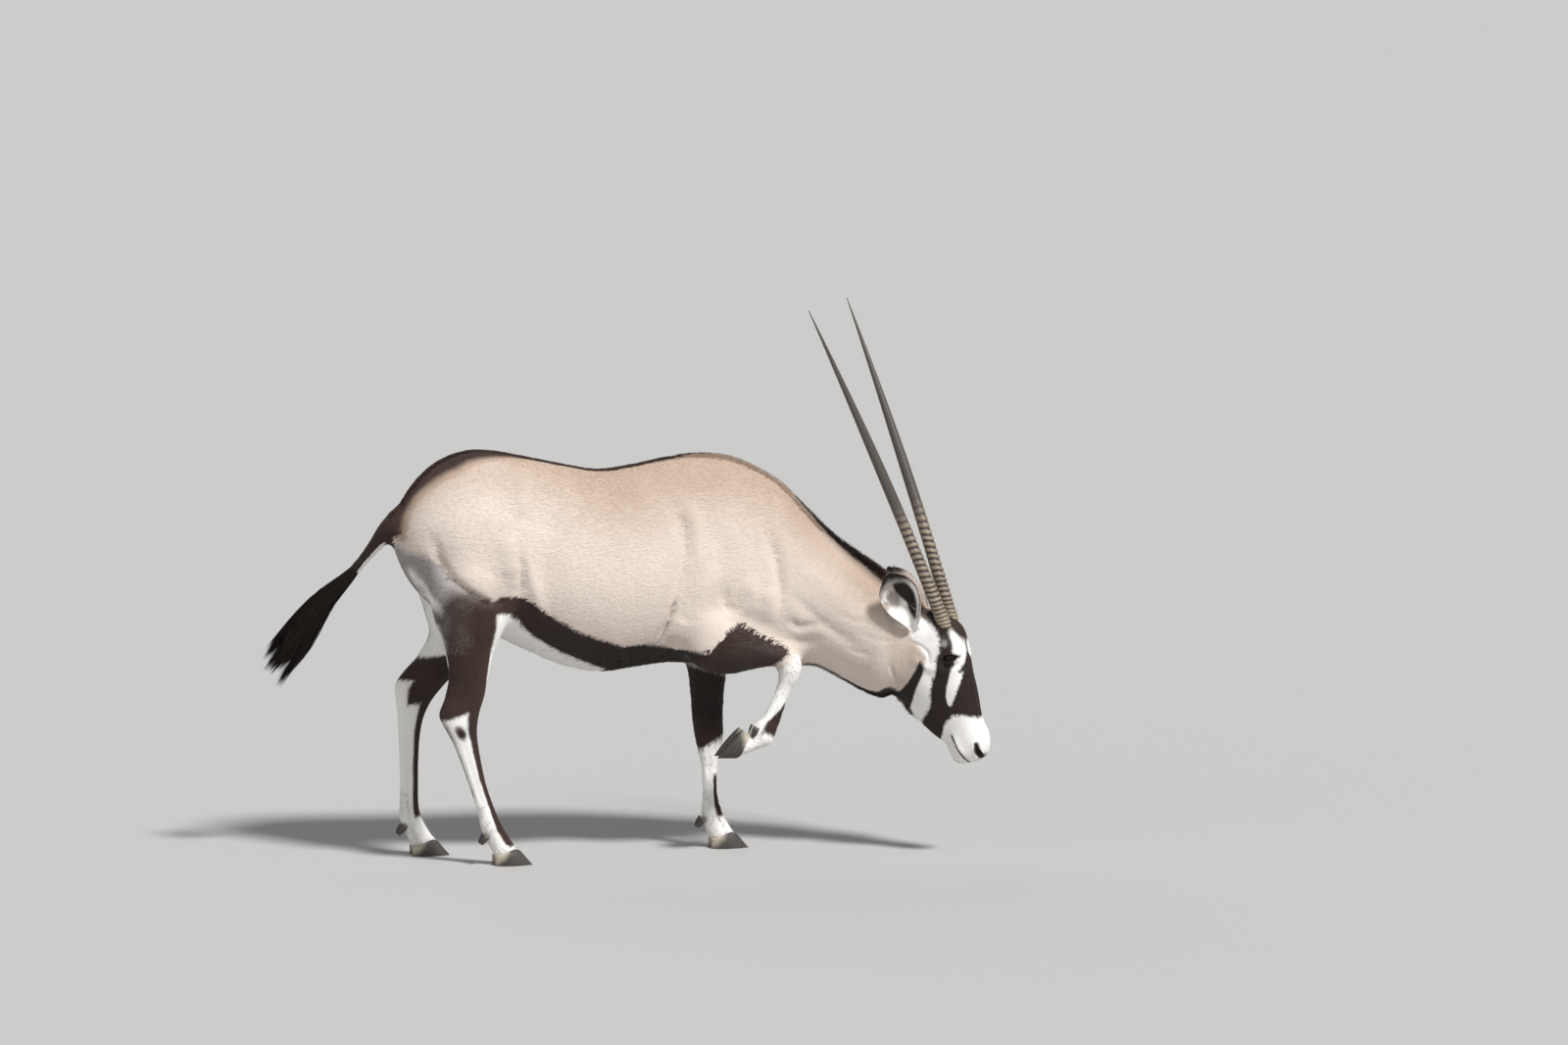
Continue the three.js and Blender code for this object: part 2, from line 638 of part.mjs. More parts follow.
// The tail's line from its root to the tips of the brush, with its thickness there as a radius
const TAIL_LINE = [
  [-655, 0, 1012, 44],
  [-704, 8, 977, 33],
  [-744, 42, 919, 22],
  [-780, 72, 866, 18],
  [-813, 100, 820, 23],
  [-868, 146, 754, 33],
  [-914, 186, 679, 44],
  [-954, 226, 604, 52],
  [-1016, 272, 506, 58],
];
const DOCK_START = 0.17; // part of the tail's line where the dock leaves the rump
const BRUSH_START = 0.4; // where the brush takes over from the dock
const BRUSH_CORE_END = 0.68;
const BRUSH_TIERS = [[0.43, 0.83], [0.52, 0.92], [0.61, 0.97]]; // where each tier's locks start and end
const LOCKS_PER_TIER = 7;
const BRUSH_ROOT_DEPTH = 0.55; // how far from the middle line a lock starts, as a part of the radius
const BRUSH_LOCK = { width: 31, thickness: 7 };
const MANE_LOCKS = 24;
const MANE_LOCK = { length: 56, width: 22, thickness: 7 };
const MANE_ROOT_DEPTH = 10; // how deep a lock starts below the crest of the neck
const MANE_HEIGHT = 7; // how far its tip stands above the crest

const tailCurve = new THREE.CatmullRomCurve3(TAIL_LINE.map(([x, y, z]) => new THREE.Vector3(x, y, z)));

/** The tail's place, way and radius at a part of its line, and two directions across it. */
function tailAt(part) {
  const spot = Math.min(part, 0.999) * (TAIL_LINE.length - 1);
  const i = Math.floor(spot);
  const radius = THREE.MathUtils.lerp(TAIL_LINE[i][3], TAIL_LINE[i + 1][3], spot - i);
  const way = tailCurve.getTangent(part);
  const wide = new THREE.Vector3(0, 0, 1).cross(way).normalize();
  return { middle: tailCurve.getPoint(part), way, radius, wide, deep: way.clone().cross(wide) };
}

/** A round form along the tail's line, between two parts of its length; `slim` scales its radius. */
function tailForm(from, to, count, slim) {
  const sides = 10;
  const rings = [];
  for (let i = 0; i < count; i += 1) {
    const share = i / (count - 1);
    const { middle, radius, wide, deep } = tailAt(from + (to - from) * share);
    const ring = [];
    for (let j = 0; j < sides; j += 1) {
      const angle = (2 * Math.PI * j) / sides;
      const p = middle.clone().addScaledVector(wide, slim(share) * radius * Math.cos(angle));
      ring.push(p.addScaledVector(deep, slim(share) * radius * Math.sin(angle)));
    }
    rings.push(ring);
  }
  return solidOfRings(rings);
}

/** A repeatable run of numbers between 0 and 1. */
function seeded(seed) {
  let state = seed;
  return () => {
    state = (state * 16807) % 2147483647;
    return state / 2147483647;
  };
}

/** A flat lock of hair along a line of points: flat across `outward`, widest a third along, then a taper to its tip. */
function lock(points, outward, width, thickness) {
  const last = points.length - 1;
  const rings = points.map((point, i) => {
    const way = points[Math.min(i + 1, last)].clone().sub(points[Math.max(i - 1, 0)]).normalize();
    const across = way.clone().cross(outward).normalize();
    const out = across.clone().cross(way);
    const share = i / last;
    const shape = i === last ? 0.07 : 0.75 + 0.35 * Math.sin(Math.PI * Math.min(1, share * 1.6)) - 0.45 * share;
    const [wide, thick] = [(width * shape) / 2, (thickness * Math.max(shape, 0.16)) / 2];
    return [[wide, 0], [0, thick], [-wide, 0], [0, -thick]].map(
      ([a, b]) => point.clone().addScaledVector(across, a).addScaledVector(out, b),
    );
  });
  return solidOfRings(rings);
}

/** Joins many pieces to the form that they grow from. */
function fuse(form, pieces) {
  return largest(pieces.reduce((whole, piece) => whole.add(piece), form));
}

/** One lock of the brush: it leaves the core, follows the tail and ends at the brush's ragged outline. */
function brushLock(tier, place, random) {
  const [start, from] = [BRUSH_TIERS[tier][0] + 0.03 * random(), BRUSH_TIERS[tier][1]];
  const end = Math.min(0.995, from + 0.08 * random());
  const angle = (2 * Math.PI * (place + tier / BRUSH_TIERS.length)) / LOCKS_PER_TIER + 0.2 * random();
  const reach = 0.74 + 0.15 * (BRUSH_TIERS.length - 1 - tier) + 0.14 * random();
  const points = [];
  for (let i = 0; i <= 4; i += 1) {
    const share = i / 4;
    const { middle, radius, wide, deep } = tailAt(start + (end - start) * share);
    const spread = Math.sin((Math.PI / 2) * Math.min(1, share * 1.5));
    const off = radius * THREE.MathUtils.lerp(BRUSH_ROOT_DEPTH, reach, spread);
    points.push(middle.addScaledVector(wide, off * Math.cos(angle)).addScaledVector(deep, off * Math.sin(angle)));
  }
  const { wide, deep } = tailAt(start);
  const outward = wide.multiplyScalar(Math.cos(angle)).addScaledVector(deep, Math.sin(angle));
  return lock(points, outward, BRUSH_LOCK.width * (0.9 + 0.2 * random()), BRUSH_LOCK.thickness);
}

/** The tail's brush: a slim core that ends half way down, and locks out to the tips. */
function tailBrush() {
  const random = seeded(7);
  const core = tailForm(BRUSH_START - 0.1, BRUSH_CORE_END, 8, (share) => 0.92 - 0.6 * share ** 2);
  const locks = BRUSH_TIERS.flatMap((_, tier) => (
    Array.from({ length: LOCKS_PER_TIER }, (__, place) => brushLock(tier, place, random))
  ));
  const { middle, way } = tailAt(BRUSH_START);
  return largest(partBy(fuse(core, locks), middle, way)[1]);
}

/** The root of the tail, which belongs to the rump, and the dock that leaves it. */
function tailRootAndDock() {
  const start = tailAt(DOCK_START);
  const end = tailAt(BRUSH_START);
  const [root, free] = partBy(tailForm(0, BRUSH_START + 0.1, 11, () => 1), start.middle, start.way);
  return [root, largest(partBy(free, end.middle, end.way)[0])];
}

/** The short mane: overlapping locks that lean back along the crest of the neck. */
function maneLocks() {
  const random = seeded(11);
  const crest = blendRows(TRUNK.slice(14, 21), middleLine(TRUNK.slice(14, 21)), MANE_LOCKS / 6);
  return crest.slice(1, -1).map((row, i) => {
    const [from, to] = [crest[i], crest[i + 2]];
    const back = new THREE.Vector3(from[0] - to[0], 0, from[1] - to[1]).normalize();
    const up = new THREE.Vector3(back.z, 0, -back.x);
    const side = (i % 2 ? 1 : -1) * (2 + 3 * random());
    const length = MANE_LOCK.length * (0.85 + 0.3 * random());
    const points = [0, 0.35, 0.7, 1].map((share) => {
      const rise = THREE.MathUtils.lerp(-MANE_ROOT_DEPTH, MANE_HEIGHT, Math.sin((Math.PI / 2) * share));
      const p = new THREE.Vector3(row[0], side * (1 + 0.6 * share), row[1]);
      return bendNeck(p.addScaledVector(back, length * share).addScaledVector(up, rise));
    });
    return lock(points, new THREE.Vector3(0.2 * side, 1, 0), MANE_LOCK.width, MANE_LOCK.thickness);
  });
}

/** A named mesh of a solid. */
function meshOf(name, solid, color, roughness) {
  const { vertProperties, triVerts, numProp } = solid.getMesh();
  const geometry = new THREE.BufferGeometry();
  const places = new Float32Array((vertProperties.length / numProp) * 3);
  for (let i = 0; i < places.length / 3; i += 1) {
    places.set(vertProperties.subarray(i * numProp, i * numProp + 3), i * 3);
  }
  geometry.setAttribute('position', new THREE.BufferAttribute(places, 3));
  geometry.setIndex(new THREE.BufferAttribute(Uint32Array.from(triVerts), 1));
  geometry.computeVertexNormals();
  const material = new THREE.MeshStandardMaterial({ color, roughness, metalness: 0 });
  const mesh = new THREE.Mesh(geometry, material);
  mesh.name = name;
  return mesh;
}

const gemsbok = new THREE.Group();
const add = (name, solid, color, roughness = 0.8) => gemsbok.add(meshOf(name, solid, color, roughness));

const trunk = trunkForm();
const trunkGrown = trunkForm(SEAM);
const headGrown = headForm(SEAM).add(trunkGrown);

const LEGS = [
  ['hind', 'right', HIND_RIGHT, THIGH_CUT],
  ['hind', 'left', HIND_LEFT, THIGH_CUT],
  ['fore', 'right', FORE_RIGHT, RAISED_ARM_CUT],
  ['fore', 'left', FORE_LEFT, FOREARM_CUT],
];
const [tailRoot, tailDock] = tailRootAndDock();
let body = trunk.add(headForm()).add(tailRoot);
for (const [end, side, leg, cut] of LEGS) {
  const { onTrunk, lengths } = legLengths(leg, cut, trunkGrown);
  body = body.add(onTrunk);
  const names = end === 'hind' ? ['thigh', 'cannon', 'pastern'] : ['arm', 'cannon', 'pastern'];
  const colors = [DARK, WHITE, WHITE];
  lengths.forEach((solid, i) => add(`${end}_${names[i]}_${side}`, solid, colors[i]));
  add(`hoof_${end}_${side}_inner`, claw(leg, side === 'right' ? 1 : -1), HOOF, 0.5);
  add(`hoof_${end}_${side}_outer`, claw(leg, side === 'right' ? -1 : 1), HOOF, 0.5);
}

const [torso, neckAndHead] = partBy(body, ...bentPlane(NECK_CUT));
const [neck, head] = partBy(neckAndHead, ...bentPlane(POLL_CUT));
add('torso', largest(torso), FAWN);
add('neck', fuse(neck, maneLocks()), FAWN);
add('head', withFace(largest(head)), WHITE);

for (const [name, side] of [['right', -1], ['left', 1]]) {
  add(`eye_${name}`, eyeball(side), EYE, 0.1);
  add(`ear_${name}`, ear(side, EARS[name], headGrown), WHITE);
  add(`horn_${name}`, horn(side, headGrown), HORN, 0.4);
}

add('tail_dock', tailDock, DARK);
add('tail_brush', tailBrush(), DARK);

// The origin is on the floor, below the middle of the whole animal
const bounds = new THREE.Box3().setFromObject(gemsbok);
const middle = bounds.getCenter(new THREE.Vector3());
gemsbok.position.set(-middle.x, -middle.y, -bounds.min.z);

export default gemsbok;
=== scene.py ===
"""A gemsbok that wades with one foreleg raised: skin, coat, horns, hooves, eyes and tail brush, round its solids.

The forms are worked out in the body's own frame, in millimetres: x forward, y to the animal's left, z up from
the floor, with the neck straightened. `bend` carries them to the posed body, and `to_part` to metres in the
part's frame. The animal's markings are distances to named outlines, kept as attributes of the skin and the coat.
"""

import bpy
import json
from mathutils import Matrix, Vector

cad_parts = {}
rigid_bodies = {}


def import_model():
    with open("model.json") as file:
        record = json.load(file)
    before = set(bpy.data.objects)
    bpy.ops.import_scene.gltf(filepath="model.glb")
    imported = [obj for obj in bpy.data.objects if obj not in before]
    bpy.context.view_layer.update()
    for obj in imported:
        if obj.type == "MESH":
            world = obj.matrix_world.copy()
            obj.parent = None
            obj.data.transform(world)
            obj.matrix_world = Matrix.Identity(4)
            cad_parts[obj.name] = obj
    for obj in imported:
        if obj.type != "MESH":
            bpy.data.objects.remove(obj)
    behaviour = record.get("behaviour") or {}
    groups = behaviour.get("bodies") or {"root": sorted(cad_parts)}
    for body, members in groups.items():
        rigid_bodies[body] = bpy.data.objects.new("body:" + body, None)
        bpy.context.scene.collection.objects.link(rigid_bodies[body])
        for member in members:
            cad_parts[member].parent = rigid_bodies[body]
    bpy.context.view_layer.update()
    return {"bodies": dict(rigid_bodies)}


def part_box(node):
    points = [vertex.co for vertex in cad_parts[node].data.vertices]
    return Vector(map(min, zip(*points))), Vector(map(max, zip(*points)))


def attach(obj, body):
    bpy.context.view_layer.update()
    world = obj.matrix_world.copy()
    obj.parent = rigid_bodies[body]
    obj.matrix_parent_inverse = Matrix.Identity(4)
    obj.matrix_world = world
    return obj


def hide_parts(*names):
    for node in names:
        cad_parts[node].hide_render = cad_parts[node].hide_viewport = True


bl_info = {
    "name": "Gemsbok",
    "version": (1, 0, 0),
    "blender": (4, 5, 0),
    "location": "3D View > Sidebar > Gemsbok",
    "description": "A still, life-size gemsbok with its coat, horns, hooves, eyes and tail brush",
    "category": "Object",
}

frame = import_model()

import json
import math

import bmesh
import bpy
import numpy as np
from mathutils import Vector

BODY = next(iter(frame["bodies"]))

# Sizes of the body, in millimetres and radians
NECK_TURN = math.radians(-33.5)
BEND_START, BEND_END = 300.0, 740.0
SHORTEST_SPAN = 6.0
ROW_STEP = 8.0  # distance between the dense rows that places on the body are read from
TRUNK_LEVEL, HEAD_LEVEL = 0.47, 0.6  # part of the height where the trunk and the head are widest
EYE_PLACE = np.array([992.0, 56.0, 590.0])
EYE_RADIUS = 20.0
LID_THICKNESS = 3.2
NOSTRIL_PLACE = np.array([1073.0, 27.0, 318.0])
NOSTRIL_LINE = [(1061, 31, 336), (1064, 32, 320), (1070, 30, 306), (1075, 27, 299)]
MOUTH_FOLD = [(987, 0, 356), (1003, 0, 321), (1022, 0, 296), (1044, 0, 272)]
EAR_LENGTH = 186.0
EAR_WALL = 6.0
EARS = {
    "right": (np.array([876.0, 52.0, 672.0]), np.array([-0.296, 0.349, 0.889])),
    "left": (np.array([870.0, 52.0, 685.0]), np.array([-0.62, 0.06, 0.78])),
}
COAT_DEPTH, FACE_COAT_DEPTH = 3.0, 1.0

# Trunk and neck: top x, top z, bottom x, bottom z, half width, sharpness of the back
TRUNK = np.array([
    [-699, 990, -699, 930, 12, 1.0],
    [-668, 1059, -665, 850, 78, 1.05],
    [-624, 1120, -625, 790, 122, 1.05],
    [-560, 1172, -560, 730, 158, 1.05],
    [-480, 1200, -480, 690, 178, 1.0],
    [-400, 1198, -400, 655, 186, 0.95],
    [-310, 1180, -310, 612, 192, 0.92],
    [-200, 1155, -200, 562, 200, 0.92],
    [-85, 1134, -85, 539, 204, 0.95],
    [20, 1145, 20, 549, 200, 1.0],
    [120, 1164, 115, 558, 186, 1.1],
    [210, 1171, 200, 552, 168, 1.25],
    [300, 1162, 285, 548, 156, 1.3],
    [380, 1130, 370, 542, 148, 1.25],
    [456, 1082, 440, 541, 140, 1.2],
    [518, 1016, 505, 549, 128, 1.15],
    [590, 941, 560, 546, 116, 1.15],
    [660, 889, 612, 526, 108, 1.15],
    [720, 852, 662, 499, 101, 1.15],
    [775, 816, 710, 474, 94, 1.1],
    [830, 778, 758, 458, 90, 1.05],
    [884, 736, 800, 470, 72, 1.0],
], float)
# Head: front x, front z, jaw x, jaw z, half width, sharpness of the face
HEAD = np.array([
    [846, 736, 800, 496, 46, 1.0],
    [903, 726, 808, 466, 64, 0.9],
    [958, 704, 818, 451, 69, 0.85],
    [1000, 683, 832, 440, 70, 0.85],
    [1020, 645, 846, 422, 74, 0.85],
    [1030, 598, 863, 404, 74, 0.88],
    [1040, 552, 881, 386, 64, 0.9],
    [1051, 508, 899, 370, 54, 0.9],
    [1060, 465, 917, 355, 47, 0.9],
    [1066, 425, 936, 342, 43, 0.9],
    [1074, 396, 952, 333, 42, 0.85],
    [1087, 372, 963, 316, 43, 0.85],
    [1091, 343, 970, 299, 42, 0.85],
    [1088, 314, 979, 283, 37, 0.85],
    [1076, 293, 993, 273, 27, 0.9],
    [1056, 281, 1011, 270, 12, 1.0],
], float)
# Legs: front x, front z, rear x, rear z, half width, sideways place; then the numbers of the stations at the
# stifle or elbow, the hock or knee, the fetlock and the coronet, and the middle and the pitch of the foot
LEGS = {
    "hind_right": dict(rows=np.array([
        [-430, 960, -580, 970, 30, -100], [-385, 870, -614, 872, 62, -108], [-366, 785, -610, 785, 72, -115],
        [-376, 727, -598, 718, 71, -117], [-396, 680, -578, 672, 64, -118], [-420, 624, -566, 620, 54, -116],
        [-436, 556, -558, 552, 44, -115], [-446, 500, -570, 494, 36, -114], [-463, 446, -587, 444, 34, -114],
        [-469, 405, -572, 408, 32, -114], [-467, 360, -545, 358, 27, -114], [-446, 250, -502, 244, 22, -114],
        [-430, 198, -484, 188, 21, -114], [-412, 150, -470, 142, 25, -114], [-398, 118, -462, 106, 27, -114],
        [-376, 82, -444, 66, 25, -114], [-352, 46, -424, 28, 28, -114], [-344, 34, -416, 16, 28, -114],
    ], float), joints=(3, 8, 14, 17), foot=(-379, -114, 0), pitch=0.0, side=-1),
    "hind_left": dict(rows=np.array([
        [-440, 960, -580, 970, 30, 100], [-405, 870, -608, 872, 62, 106], [-392, 785, -596, 785, 70, 113],
        [-408, 722, -574, 716, 68, 116], [-440, 655, -564, 650, 60, 117], [-458, 590, -600, 586, 50, 116],
        [-486, 532, -640, 545, 42, 115], [-524, 490, -669, 503, 36, 114], [-556, 452, -667, 465, 34, 114],
        [-579, 405, -661, 412, 32, 114], [-590, 350, -659, 352, 26, 114], [-594, 290, -657, 290, 22, 114],
        [-595, 220, -655, 220, 21, 114], [-595, 160, -655, 156, 23, 114], [-590, 122, -655, 112, 27, 114],
        [-572, 84, -640, 68, 25, 114], [-548, 46, -620, 28, 28, 114], [-540, 34, -612, 16, 28, 114],
    ], float), joints=(3, 8, 14, 17), foot=(-575, 114, 0), pitch=0.0, side=1),
    "fore_left": dict(rows=np.array([
        [320, 850, 170, 830, 34, 104], [342, 720, 146, 700, 54, 106], [338, 600, 170, 606, 53, 90],
        [315, 505, 196, 520, 44, 72], [306, 440, 203, 445, 39, 64], [302, 382, 206, 385, 35, 58],
        [302, 330, 213, 326, 34, 52], [292, 285, 224, 280, 29, 50], [284, 250, 231, 245, 23, 49],
        [282, 205, 234, 200, 21, 48], [283, 155, 235, 148, 23, 47], [292, 118, 232, 106, 26, 46],
        [308, 84, 240, 66, 25, 46], [330, 46, 258, 28, 28, 46], [338, 34, 266, 16, 28, 46],
    ], float), joints=(2, 5, 11, 14), foot=(303, 46, 0), pitch=0.0, side=1),
    "fore_right": dict(rows=np.array([
        [215, 850, 120, 730, 40, -92], [245, 775, 128, 632, 56, -110], [283, 712, 186, 556, 58, -118],
        [322, 674, 268, 534, 52, -121], [372, 645, 345, 545, 42, -120], [425, 622, 400, 552, 35, -118],
        [468, 598, 418, 546, 34, -116], [496, 560, 425, 530, 34, -115], [490, 520, 424, 508, 30, -114],
        [468, 485, 416, 482, 23, -113], [452, 445, 402, 452, 21, -112], [437, 401, 380, 408, 21, -111],
        [424, 364, 356, 388, 25, -110], [404, 322, 346, 376, 26, -110], [367, 310, 340, 364, 25, -110],
        [334, 297, 338, 358, 27, -110], [300, 289, 334, 354, 28, -110], [288, 295, 322, 360, 28, -110],
    ], float), joints=(2, 7, 13, 17), foot=(284, -110, 340), pitch=math.radians(132.2), side=-1,
        dewclaw=(-78.0, 19.0, 29.0, -108.6)),
}
# Tail: x, y, z and radius along its middle line
TAIL = np.array([
    [-655, 0, 1012, 44], [-704, 8, 977, 33], [-744, 42, 919, 22], [-780, 72, 866, 18], [-813, 100, 820, 23],
    [-868, 146, 754, 33], [-914, 186, 679, 44], [-954, 226, 604, 52], [-1016, 272, 506, 58],
], float)
DOCK_END = 0.42  # part of the tail's line where the skin of the dock ends, under the brush
TAIL_START, TAIL_RUN = -655.0, 360.0  # x at the tail's root, and how far it runs back


# Small measures

def unit(v):
    """Vectors at length one."""
    return v / np.maximum(np.linalg.norm(v, axis=-1, keepdims=True), 1e-9)


def step_up(value, low, high):
    """0 below low, 1 above high and smooth between."""
    t = np.clip((value - low) / (high - low), 0, 1)
    return t * t * (3 - 2 * t)


def bell(value, width):
    """1 at zero, falling to both sides by the exponential of the square of value over width."""
    return np.exp(-(value / width) ** 2)


def circle(sides):
    """Angles of one full turn."""
    return np.linspace(0, 2 * np.pi, sides, endpoint=False)


def around(angle, wide, deep):
    """Ways at an angle from `wide` towards `deep`: the cosine times one and the sine times the other."""
    return np.cos(angle)[..., None] * wide + np.sin(angle)[..., None] * deep


def table_value(table, x):
    """A table of pairs (place, value), read at x with straight runs between its pairs."""
    return np.interp(x, *np.transpose(table))


def side_view(x, z):
    """Places laid flat on the middle plane of the body."""
    return np.stack([x, 0 * x, z], 1)


def folded_over(flat):
    """Places of both sides on the left one."""
    return np.stack([flat[:, 0], np.abs(flat[:, 1]), flat[:, 2]], 1)


def along_skin(ways, normals):
    """Ways turned into the plane of the skin, at length one."""
    return unit(ways - normals * np.einsum("ij,ij->i", ways, normals)[:, None])


# The frame of the body

def neck_heading(x):
    """The body's heading at distance x along it."""
    return NECK_TURN * np.clip((x - BEND_START) / (BEND_END - BEND_START), 0, 1)


def bend(points):
    """Straightened body to posed body: an arc along the neck, and a straight run before and beyond it."""
    x, y, z = np.asarray(points, float).T
    radius = (BEND_END - BEND_START) / NECK_TURN
    heading = neck_heading(x)
    beyond = np.maximum(x - BEND_END, 0)
    mid_x = np.minimum(x, BEND_START) + radius * np.sin(heading) + beyond * math.cos(NECK_TURN)
    mid_y = radius * (1 - np.cos(heading)) + beyond * math.sin(NECK_TURN)
    return np.stack([mid_x - y * np.sin(heading), mid_y + y * np.cos(heading), z], 1)


def on_head(points):
    """The straightened head to the posed body, as one stiff piece."""
    x, y, z = np.moveaxis(np.asarray(points, float), -1, 0)
    end = bend([[BEND_END, 0.0, 0.0]])[0]
    c, s = math.cos(NECK_TURN), math.sin(NECK_TURN)
    return np.stack([end[0] + (x - BEND_END) * c - y * s, end[1] + (x - BEND_END) * s + y * c, z], -1)


def unbend(points):
    """Posed body to straightened body: the angle round the arc's centre gives the distance along the neck."""
    x, y, z = np.asarray(points, float).T
    radius = (BEND_END - BEND_START) / NECK_TURN
    heading = np.arctan2(-(x - BEND_START), y - radius)
    away = np.hypot(x - BEND_START, y - radius)
    on_arc = np.stack([BEND_START + (BEND_END - BEND_START) * heading / NECK_TURN, radius + away, z], 1)
    end_x = BEND_START + radius * math.sin(NECK_TURN)
    end_y = radius * (1 - math.cos(NECK_TURN))
    c, s = math.cos(NECK_TURN), math.sin(NECK_TURN)
    ahead = np.stack([
        BEND_END + (x - end_x) * c + (y - end_y) * s, -(x - end_x) * s + (y - end_y) * c, z,
    ], 1)
    flat = np.stack([x, y, z], 1)
    out = np.where((heading > 0)[:, None], flat, on_arc)
    return np.where((heading < NECK_TURN)[:, None], ahead, out)


def frame_shift():
    """How far the body's frame lies from the part's, in millimetres, found from the right eye's solid."""
    low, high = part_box("eye_right")
    eye = bend([EYE_PLACE * [1, -1, 1]])[0]
    return eye - 500.0 * (np.array(low) + np.array(high))


SHIFT = frame_shift()


def to_part(points):
    """Millimetres of the posed body to metres of the part."""
    return (np.asarray(points, float) - SHIFT) / 1000.0


def to_body(points):
    """Metres of the part to millimetres of the posed body."""
    return np.asarray(points, float) * 1000.0 + SHIFT


def turned(vectors, x):
    """Directions of the straightened body at distance x along it, turned to the posed body's heading."""
    heading = neck_heading(x)
    c, s = np.cos(heading), np.sin(heading)
    return np.stack([vectors[:, 0] * c - vectors[:, 1] * s, vectors[:, 0] * s + vectors[:, 1] * c, vectors[:, 2]], 1)


# Rows of sections and the surfaces through them

def blend_rows(rows, key, places):
    """Cubics through the keyed rows with centred slopes, read at the places."""
    last = len(rows) - 1
    before, after = np.maximum(np.arange(last + 1) - 1, 0), np.minimum(np.arange(last + 1) + 1, last)
    slopes = (rows[after] - rows[before]) / (key[after] - key[before])[:, None]
    i = np.clip(np.searchsorted(key, places, side="right") - 1, 0, last - 1)
    span = (key[i + 1] - key[i])[:, None]
    t = (places[:, None] - key[i][:, None]) / span
    start = (1 + 2 * t) * (1 - t) ** 2
    return (
        start * rows[i] + (1 - start) * rows[i + 1]
        + t * (1 - t) ** 2 * span * slopes[i] + t * t * (t - 1) * span * slopes[i + 1]
    )


def middle_key(rows):
    """Distance along the middle line of rows that start with two points (x, z) of their outline."""
    middle = (rows[:, 0:2] + rows[:, 2:4]) / 2
    return np.concatenate([[0], np.cumsum(np.maximum(np.hypot(*np.diff(middle, axis=0).T), SHORTEST_SPAN))])


def dense_rows(rows, step):
    """The rows read every `step` millimetres along their middle line, with those distances."""
    key = middle_key(rows)
    places = np.linspace(0, key[-1], max(int(key[-1] / step), 4) + 1)
    return blend_rows(rows, key, places), places


def body_grid(rows, level, sides, step):
    """Sections whose height runs from the lower to the upper outline point and whose width is an oval, with the
    widest place at `level` and the width above it raised to the row's sharpness."""
    r, _ = dense_rows(rows, step)
    angle = circle(sides)[None, :]
    up, c = np.sin(angle), np.cos(angle)
    part = np.where(up > 0, level + (1 - level) * up, level + level * up)
    sharp = np.where(up > 0, r[:, 5:6], 1.0)
    x = r[:, 2:3] + (r[:, 0:1] - r[:, 2:3]) * part
    z = r[:, 3:4] + (r[:, 1:2] - r[:, 3:4]) * part
    y = r[:, 4:5] * np.sign(c) * np.abs(c) ** sharp
    return np.stack([x, y, z], -1)


def leg_grid(rows, sides, step):
    """Ovals between the front and the rear outline point of each row."""
    r, _ = dense_rows(rows, step)
    angle = circle(sides)[None, :]
    part = (1 + np.sin(angle)) / 2
    x = r[:, 2:3] + (r[:, 0:1] - r[:, 2:3]) * part
    z = r[:, 3:4] + (r[:, 1:2] - r[:, 3:4]) * part
    y = r[:, 5:6] + r[:, 4:5] * np.cos(angle)
    return np.stack([x, y, z], -1)


def tail_part(x):
    """The part of the tail's length at x."""
    return np.clip((TAIL_START - x) / TAIL_RUN, 0, 1)


def tail_frame(part):
    """Middle, way, radius and two directions across the tail, read by cubics at parts of its length."""
    part = np.asarray(part, float)
    key = np.arange(len(TAIL), dtype=float)
    rows = blend_rows(TAIL, key, np.clip(part, 0, 1) * key[-1])
    ahead = blend_rows(TAIL, key, np.clip(part + 0.01, 0, 1) * key[-1])
    behind = blend_rows(TAIL, key, np.clip(part - 0.01, 0, 1) * key[-1])
    way = unit(ahead[:, :3] - behind[:, :3])
    wide = unit(np.cross([0.0, 0.0, 1.0], way))
    return rows[:, :3], way, rows[:, 3], wide, np.cross(way, wide)


def tail_grid(end, sides, count):
    """Circles along the tail's line."""
    middle, _, radius, wide, deep = tail_frame(np.linspace(0, end, count))
    return middle[:, None] + radius[:, None, None] * around(circle(sides)[None, :], wide[:, None], deep[:, None])


# Part of the ear's length, half width, depth of the cup, how far the edges curl round in degrees
EAR_SECTIONS = np.array([
    [0.00, 19, 26, 150], [0.15, 34, 36, 140], [0.35, 51, 38, 118], [0.58, 59, 32, 100],
    [0.78, 49, 22, 88], [0.93, 26, 11, 78], [1.00, 6, 5, 70],
], float)


def ear_frame(side_name):
    """Root, way to the tip, way across the cup and way out of it, in the straightened frame of a left ear."""
    root, along = EARS[side_name]
    along = along / np.linalg.norm(along)
    opening = np.array([0.36, 0.93, 0.0])
    opening = opening - along * opening.dot(along)
    opening = opening / np.linalg.norm(opening)
    return root, along, np.cross(along, opening), opening


